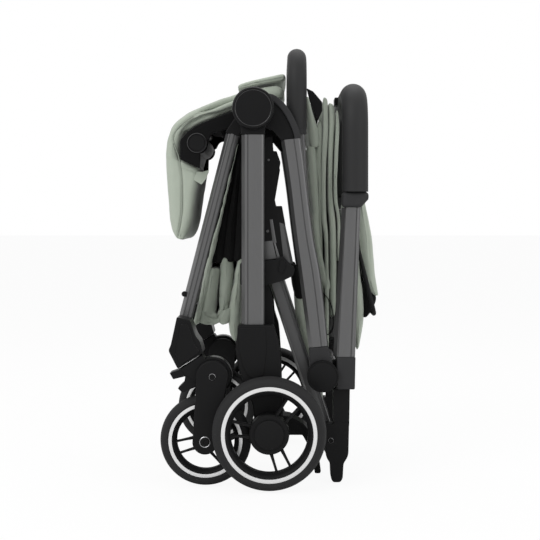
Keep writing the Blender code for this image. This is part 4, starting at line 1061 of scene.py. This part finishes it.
def leaf(rows, half_width, swing, turns):
    """One layer of cloth, with how far and how often it swings across its width."""
    return (*edge_pair(rows), half_width, swing, turns)


def strips(name, paint, leaves):
    """Several layers of cloth in one piece, made finer once."""
    shape = bmesh.new()
    for number, (left, right, half_width, swing, turns) in enumerate(leaves):
        def wave(share, y, number=number, half_width=half_width, swing=swing, turns=turns):
            ripple = noise.noise(Vector((y * 24, share * 5, number * 7.3)))
            bend = math.cos(math.pi * turns * y / half_width + number) - math.cos(math.pi * turns + number)
            return swing * (bend + 0.7 * ripple) * (1 - (abs(y) / half_width) ** 4)
        soft_strip(shape, left, right, half_width, wave=wave)
    made = finish_mesh(name, shape, paint, 0)
    refine(made)
    return made


def split_layers(left, right, count, half_width, swing, turns, lap=0.08):
    """The room between two edges as a stack of layers, each a little over the next."""
    layers = []
    for number in range(count):
        shares = ((number - lap) / count, (number + 1 + lap) / count)
        edges = [[Vector(a).lerp(Vector(b), share) for a, b in zip(left, right)] for share in shares]
        width = half_width - 0.0022 * (number * 2 % 3)
        layers.append((edges[0], edges[1], width, swing, turns + number % 2))
    return layers


def line_distance(line, x, z):
    """The distance from a point of the side view to a line, and the share along it."""
    best = (9.0, 0.0)
    last = len(line) - 1
    for index, (first, second) in enumerate(zip(line, line[1:])):
        span = second - first
        share = max(0.0, min(1.0, ((x - first.x) * span.x + (z - first.y) * span.y) / span.length_squared))
        away = math.hypot(x - first.x - span.x * share, z - first.y - span.y * share)
        if away < best[0]:
            best = (away, (index + share) / last)
    return best


def crease(piece, points, depth, width, half_width, reach, taper=0.15):
    """Presses a groove along a side-view line into both ends of the piece, fading over reach inwards."""
    line = smooth_line(points, 5)
    margin = 3 * width
    low_x, high_x = min(p.x for p in line) - margin, max(p.x for p in line) + margin
    low_z, high_z = min(p.y for p in line) - margin, max(p.y for p in line) + margin
    mesh = piece.data
    moves = []
    for vertex in mesh.vertices:
        x, y, z = vertex.co
        inward = (half_width - abs(y)) / reach
        if inward > 1 or not (low_x < x < high_x and low_z < z < high_z):
            continue
        away, share = line_distance(line, x, z)
        ends = min(1.0, share / taper, (1 - share) / taper)
        push = depth * math.exp(-(away / width) ** 2) * (1 - max(inward, 0.0)) * max(ends, 0.0)
        moves.append((vertex.index, vertex.normal * -push))
    for index, move in moves:
        mesh.vertices[index].co += move
    mesh.update()


def ruffle(piece, amount, pitch, stretch=(1.0, 1.0, 1.0)):
    """Soft unevenness of cloth along the surface's own direction."""
    mesh = piece.data
    moves = []
    for vertex in mesh.vertices:
        spot = Vector(vertex.co[axis] * stretch[axis] / pitch for axis in range(3))
        moves.append(vertex.normal * (amount * (noise.noise(spot) + 0.5 * noise.noise(spot * 2.3))))
    for vertex, move in zip(mesh.vertices, moves):
        vertex.co += move
    mesh.update()


def refine(piece):
    """One round of subdivision, kept in the mesh."""
    subdivision = piece.modifiers.new("fine", "SUBSURF")
    subdivision.levels = 1
    subdivision.render_levels = 1
    bpy.context.view_layer.update()
    evaluated = piece.evaluated_get(bpy.context.evaluated_depsgraph_get())
    fresh = bpy.data.meshes.new_from_object(evaluated)
    piece.modifiers.clear()
    old = piece.data
    piece.data = fresh
    bpy.data.meshes.remove(old)

# Seat cover and legrest: one padded piece that turns round the front bar
SEAT_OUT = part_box("seat_pad")[1].y
SIDE_SEAM = mm([(-95, 606), (-130.4, 591.5), (-146, 581), (-157.6, 569.5), (-163.3, 559), (-162.2, 549.7),
                (-157.6, 536.1), (-153.3, 523.5), (-149, 494.6), (-148.2, 468.4), (-149, 432.4),
                (-153.1, 407.9), (-157.2, 393.2)])
SLIT = mm([(-30, 633), (-62.3, 623.5), (-100, 606.5), (-122.5, 599.3)])
FOLD = mm([(-30, 618), (-68.6, 601.9), (-89.6, 594.6), (-105.3, 592.5), (-125.1, 585.3), (-137.6, 574.8),
           (-146, 564.3), (-151.2, 554.9)])
TOP_SEAM = mm([(-150.6, 506), (-134.3, 502.8), (-117.9, 496.2)])


def seat_cover():
    outer, inner = edge_pair([(22, 648, 21.5, 612), (-25, 638, -25, 615), (-55.8, 631, -62, 601.5),
                              (-88.5, 620, -90, 590.5), (-122.8, 606, -118, 580), (-144, 594.5, -133, 572),
                              (-162.5, 577.5, -146, 562), (-171.2, 558, -152, 550), (-174, 544, -153.5, 540),
                              (-175, 533, -153.8, 530), (-175.3, 524, -151.5, 521.5),
                              (-175.3, 514, -134, 514), (-175, 504, -120, 505), (-174.2, 490, -121.2, 488),
                              (-172.2, 462, -124.5, 468), (-170.8, 440, -127.5, 444),
                              (-168.8, 421.5, -131, 421.5), (-165, 403, -136, 405), (-159, 392, -142, 394),
                              (-152, 388, -147, 389)])
    half_width = SEAT_OUT - 0.004
    shape = bmesh.new()
    soft_strip(shape, outer, inner, half_width, steps=5, corner=0.013, rounded=3, along=10, across=40,
               bend=6)
    cover = finish_mesh("seat_cover", shape, SAGE, 0)
    refine(cover)
    half_width = max(vertex.co.y for vertex in cover.data.vertices)
    crease(cover, SIDE_SEAM, 0.0022, 0.0022, half_width, 0.03, taper=0.04)
    crease(cover, SLIT, 0.011, 0.0036, half_width, 0.04)
    crease(cover, FOLD, 0.007, 0.0034, half_width, 0.04)
    crease(cover, TOP_SEAM, 0.0012, 0.0016, half_width, 0.02)
    ruffle(cover, 0.001, 0.035, (1.0, 0.6, 1.0))
    settle(cover, None, "seat_pad", "legrest_pad")
    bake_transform(cover)
    seat_piping(half_width)


def seat_piping(half_width):
    """A thin cord of the same cloth along the side seam of the legrest and the seat's round front, painted darker
    as shade in the seam.
    """
    line = even_line(smooth_line(SIDE_SEAM[1:], 6), 90)
    for label, side in SIDES.items():
        shape = bmesh.new()
        sweep_into(shape, [Vector((p.x, side * (half_width - 0.0006), p.y)) for p in line],
                   round_section(0.0009, 10))
        cord = finish_mesh("seat_piping_" + label, shape, SAGE_SHADED, 0)
        settle(cord, None)
        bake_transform(cord)


def seat_flap():
    """The flap over the seat's back end, with its sewn hem."""
    half_width = SEAT_OUT - 0.005
    layers = leaf([(-57.5, 643, -56.2, 634.5), (-40, 648.6, -40, 639.6), (-23.1, 653.2, -22.5, 643.6),
                   (-2, 658.2, -2, 647), (23, 663.4, 23.5, 651)], half_width, 0.0, 1)
    flap = strips("seat_flap", SAGE, [layers])
    hem = mm([(-50, 640.8), (-30, 646.5), (20, 655.5)])
    crease(flap, hem, 0.001, 0.0014, half_width, 0.02, taper=0.05)
    ruffle(flap, 0.0005, 0.03)
    settle(flap, "seat")


def seat_frame():
    """The bent seat tube with its knuckles, and the black lining with the legrest's adjuster at each side."""
    low, high = layer("strut")
    y = (low + high) / 2
    front_x, front_z = -0.115, 0.5706
    back_x, back_z = HUB.x - 0.012, HUB.y - 0.003
    corners = [(back_x, -y, back_z), (front_x, -y, front_z), (front_x, y, front_z), (back_x, y, back_z)]
    shape = bmesh.new()
    sweep_into(shape, rounded_path(corners, 0.014), round_section(0.0052))
    settle(finish_mesh("seat_frame_tube", shape, GUNMETAL, 40), "seat", "seat_frame")
    lining = mm([(-150, 520), (-150, 552), (-137.5, 565), (-124.5, 574.5), (-98.3, 586), (-70, 596.5),
                 (-60, 599), (-54, 588), (-74, 569), (-96, 564), (-100, 560), (-103.5, 552), (-115, 548),
                 (-117.3, 544), (-118.4, 506), (-123.4, 507)])
    center = Vector((-0.1225, 0.5466))
    face = min(y + 0.0078, FRONT_IN - 0.003)
    disc = faced(face, [(0, 1.6), (12.5, 1.6), (13.2, 1), (15, 2.2), (16, 1.6), (16.4, -0.4)])
    for label, side in SIDES.items():
        plate("seat_knuckle", label, "seat", arc(HUB, 0.017, 0, 352.5, 47), low, high, BLACK, 0.0012)
        plate("seat_lining", label, "seat", rounded_outline(lining, 0.0025), low + 0.0003, face, LINING,
              0.0016)
        turned("adjuster_disc", label, "seat", center, disc, BLACK, 64)
        thin_ring("adjuster_ring_" + label, side, "seat", center, face + 0.0014, 0.016, 0.001, DARK_TUBE)


def legrest_tab():
    """The small pulled tab at the legrest's upper corner."""
    outline = mm([(-129, 487), (-124, 501), (-115, 500), (-103.6, 503.5), (-108, 490), (-116, 479)])
    tab = slab("legrest_tab", rounded_outline(outline, 0.0012), SEAT_OUT - 0.006, SEAT_OUT - 0.005, -1, SAGE,
               0.0004)
    settle(tab, "legrest")


# Net, basket, folded backrest and canopy
def back_net():
    """The black net behind the front legs, hung in four layers."""
    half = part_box("back_mesh")[1].y
    front, back = edge_pair([(-112, 573, -47, 580), (-86, 568, -44, 556), (-72, 530, -44, 530),
                             (-81, 490.2, -44, 490), (-99, 429.2, -44, 430), (-112.5, 376, -44, 376),
                             (-110.5, 345, -48, 352)])
    net = strips("back_net", NET, split_layers(front, back, 4, half, 0.0006, 3))
    ruffle(net, 0.001, 0.025, (1.0, 0.5, 0.5))
    settle(net, "seat", "back_mesh")


def basket():
    """The shopping basket, hanging in folds below the net."""
    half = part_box("basket")[1].y
    edge_strip = leaf([(-56, 551.5, -54, 551.5), (-70.3, 494.4, -66.8, 494.4), (-86.6, 429.2, -81.5, 429.2),
                       (-102.9, 372.1, -94.5, 372.1), (-117, 306.8, -108, 306.8), (-128, 260, -119, 260),
                       (-132, 244, -124, 246)], half - 0.001, 0.0, 1)
    panel = leaf([(-106, 344, -85, 344), (-111, 320, -89, 320), (-117, 290, -92.5, 290),
                  (-122.5, 262, -96, 262), (-124, 250, -101, 245)], half - 0.003, 0.0016, 3)
    middle = leaf([(-87, 360, -64, 364), (-87, 320, -66, 320), (-88.5, 290, -70, 290), (-87, 262, -76, 262),
                   (-85, 252, -80, 252)], half - 0.005, 0.0012, 4)
    back = leaf([(-56, 360, -48, 362), (-64, 315, -50, 315), (-70, 285, -52, 285), (-71, 255, -53, 255),
                 (-69, 235, -54, 235), (-64, 220, -57, 218)], half - 0.001, 0.0014, 3)
    tuck = leaf([(-126, 268, -101, 278), (-120, 258, -96, 270), (-113, 252, -90, 264), (-105, 248, -86, 259),
                 (-96, 246.5, -82, 255)], half - 0.004, 0.001, 3)
    bulge = leaf([(-90, 276, -64, 276), (-91, 262, -64, 266), (-89, 254, -67, 258), (-85, 249, -71, 253),
                  (-81, 247.5, -75, 250)], half - 0.002, 0.0012, 2)
    bag = strips("basket_bag", SAGE, [edge_strip, panel, middle, back, tuck, bulge])
    for line, depth, width, reach in (([(-108, 338), (-114, 295), (-120, 256)], 0.0014, 0.0012, 0.02),
                                      ([(-60, 330), (-66, 295), (-88, 262)], 0.0024, 0.0018, 0.025),
                                      ([(-115, 268), (-105, 260), (-94, 259)], 0.004, 0.0024, 0.03),
                                      ([(-101, 256), (-90, 260), (-82, 270)], 0.003, 0.002, 0.03)):
        crease(bag, mm(line), depth, width, half, reach)
    ruffle(bag, 0.002, 0.02, (1.0, 0.5, 0.7))
    settle(bag, None, "basket")
    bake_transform(bag)


def backrest():
    """The folded backrest, seen from its edge as long narrow layers."""
    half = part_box("backrest")[1].y
    lens = leaf([(56.3, 625, 59, 626), (57, 608, 66, 600), (58.5, 580, 75, 574), (60, 556, 79, 556),
                 (64, 538, 78.2, 541)], half, 0.0006, 2)
    outer = leaf([(56, 544, 72, 546), (57.5, 520, 74, 520), (60, 496, 75, 496), (63, 470, 75.6, 470),
                  (67.1, 440, 76.8, 440), (68, 408.5, 77.9, 404.5), (72.2, 371.6, 80.4, 373.3),
                  (77.9, 336.1, 88.6, 342), (90, 297.5, 98.5, 308)], half - 0.001, 0.0006, 2)
    inner = leaf([(74, 590, 84, 590), (73, 520, 81.5, 520), (76.5, 480, 81.5, 480), (77, 430, 81.5, 430),
                  (78, 360, 84, 360), (76, 280, 85, 280), (76, 200, 85, 200), (77.5, 140, 84, 140),
                  (79, 95, 82, 90)], half - 0.006, 0.0008, 3)
    tall = leaf([(84.8, 623.5, 87.2, 623.5), (83.6, 612, 91.7, 614), (83.9, 569.1, 92.5, 569.1),
                 (82, 512.7, 89, 512.7), (81.7, 429.2, 89.3, 429.2), (86.3, 388.1, 92.5, 388.1),
                 (87.5, 300, 93.5, 300), (87, 220, 93, 220), (85, 140, 90, 140)], half - 0.0005, 0.0005, 2)
    panel = leaf([(92.1, 618, 102.3, 613), (94, 590, 104, 590), (93, 551, 101.8, 551),
                  (92.7, 509.9, 100, 509.9), (92.7, 453.9, 101, 453.9), (96, 404.5, 106, 404.5),
                  (96.5, 309.1, 105.5, 309.1), (96, 256.4, 103, 256.4)], half - 0.004, 0.0008, 3)
    rear = leaf([(106, 604, 108.5, 604), (105, 578, 111, 578), (103, 536, 109, 536),
                 (101.5, 490, 107.5, 490), (102, 453.9, 108, 453.9), (107.4, 420, 112.5, 420),
                 (108, 350, 112, 350)], half - 0.002, 0.0006, 2)
    low = leaf([(39, 302, 50, 302), (40, 280, 53, 280), (43, 250, 57, 250), (50, 214.8, 62, 214.8),
                (60, 180, 68, 180)], half - 0.008, 0.0008, 2)
    back = strips("backrest_layers", SAGE, [lens, outer, inner, tall, panel, rear, low])
    ruffle(back, 0.0008, 0.028, (1.0, 0.5, 0.35))
    settle(back, "handle", "backrest")
    pocket = leaf([(34.5, 344, 40, 348), (33.5, 330, 44, 330), (35, 312, 48, 312), (38, 298, 51, 298),
                   (40, 290, 52, 290)], half - 0.004, 0.0008, 2)
    pouch = strips("backrest_pocket", LINING, [pocket])
    settle(pouch, "handle")
    backrest_strap(half)


def backrest_strap(half):
    """The black webbing that hangs in a loop from the backrest's side, and the clip above it."""
    path = mm([(85, 299), (93, 290), (98.5, 276), (101, 260), (100.5, 244), (96, 235), (90, 233), (86, 242)])
    clip = mm([(57, 638.6), (67.5, 633.5), (74, 626), (82.3, 616), (82.7, 601.1), (76, 586), (70, 599),
               (62, 618)])
    line = even_line(smooth_line(path, 6), 40)
    y_out = half + 0.0006
    for label, side in SIDES.items():
        plate("backrest_clip", label, "handle", rounded_outline(clip, 0.0015), half - 0.016, half - 0.006,
              BLACK, 0.0016)
        shape = bmesh.new()
        rows = []
        for index, point in enumerate(line):
            along = line[min(index + 1, len(line) - 1)] - line[max(index - 1, 0)]
            normal = Vector((-along.y, along.x)).normalized() * 0.0007
            rows.append([Vector((point.x + u * normal.x, side * y, point.y + u * normal.y))
                         for u, y in ((1, y_out), (1, y_out - 0.02), (-1, y_out - 0.02), (-1, y_out))])
        skin_rows(shape, rows)
        strap = finish_mesh("backrest_strap_" + label, shape, WEBBING, 30)
        settle(strap, "handle")


def canopy():
    """The folded canopy behind the push handle, its lining dark where it hangs open."""
    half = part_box("canopy")[1].y
    shell = leaf([(140, 464, 150, 468), (138, 450, 152.5, 453.7), (140, 429, 157.5, 428.7),
                  (144, 390, 164.2, 386.8), (147, 350, 169.4, 336.6), (152, 323, 172.2, 315),
                  (160, 306, 173.8, 302), (169, 296, 173.5, 297)], half, 0.001, 2)
    under = leaf([(126, 456, 137, 456), (125, 430, 138.5, 430), (125, 390, 142, 390), (125, 340, 144, 340),
                  (129, 298, 149, 298), (133, 260, 150, 260), (137, 220, 146, 230), (138.5, 206, 142, 210)],
                 half - 0.003, 0.001, 3)
    cover = strips("canopy_cover", SAGE, [shell, under])
    crease(cover, mm([(150, 450), (156, 400), (160, 350)]), 0.0012, 0.0016, half, 0.02)
    ruffle(cover, 0.0012, 0.03, (1.0, 0.5, 0.5))
    settle(cover, None, "canopy")
    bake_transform(cover)
    inside = leaf([(144, 325, 160, 314), (148, 308, 170, 299), (150, 290, 171.2, 288), (150, 270, 164, 272),
                   (150, 260, 154, 260)], half - 0.006, 0.0008, 2)
    lining = strips("canopy_lining", LINING, [inside])
    settle(lining, None, slot="sage_fabric")
    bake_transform(lining)


for build in (seat_frame, seat_cover, seat_flap, legrest_tab, back_net, basket, backrest, canopy):
    build()


# Finishes of the solids that stay
def paint_kept_nodes():
    slots = {part["node"]: part["material_slot"] for part in frame["record"]["subparts"]}
    for node_name, node in frame["nodes"].items():
        if not node.hide_render:
            for slot in node.material_slots:
                slot.material = SLOT_PAINTS[slots[node_name]][0]


paint_kept_nodes()
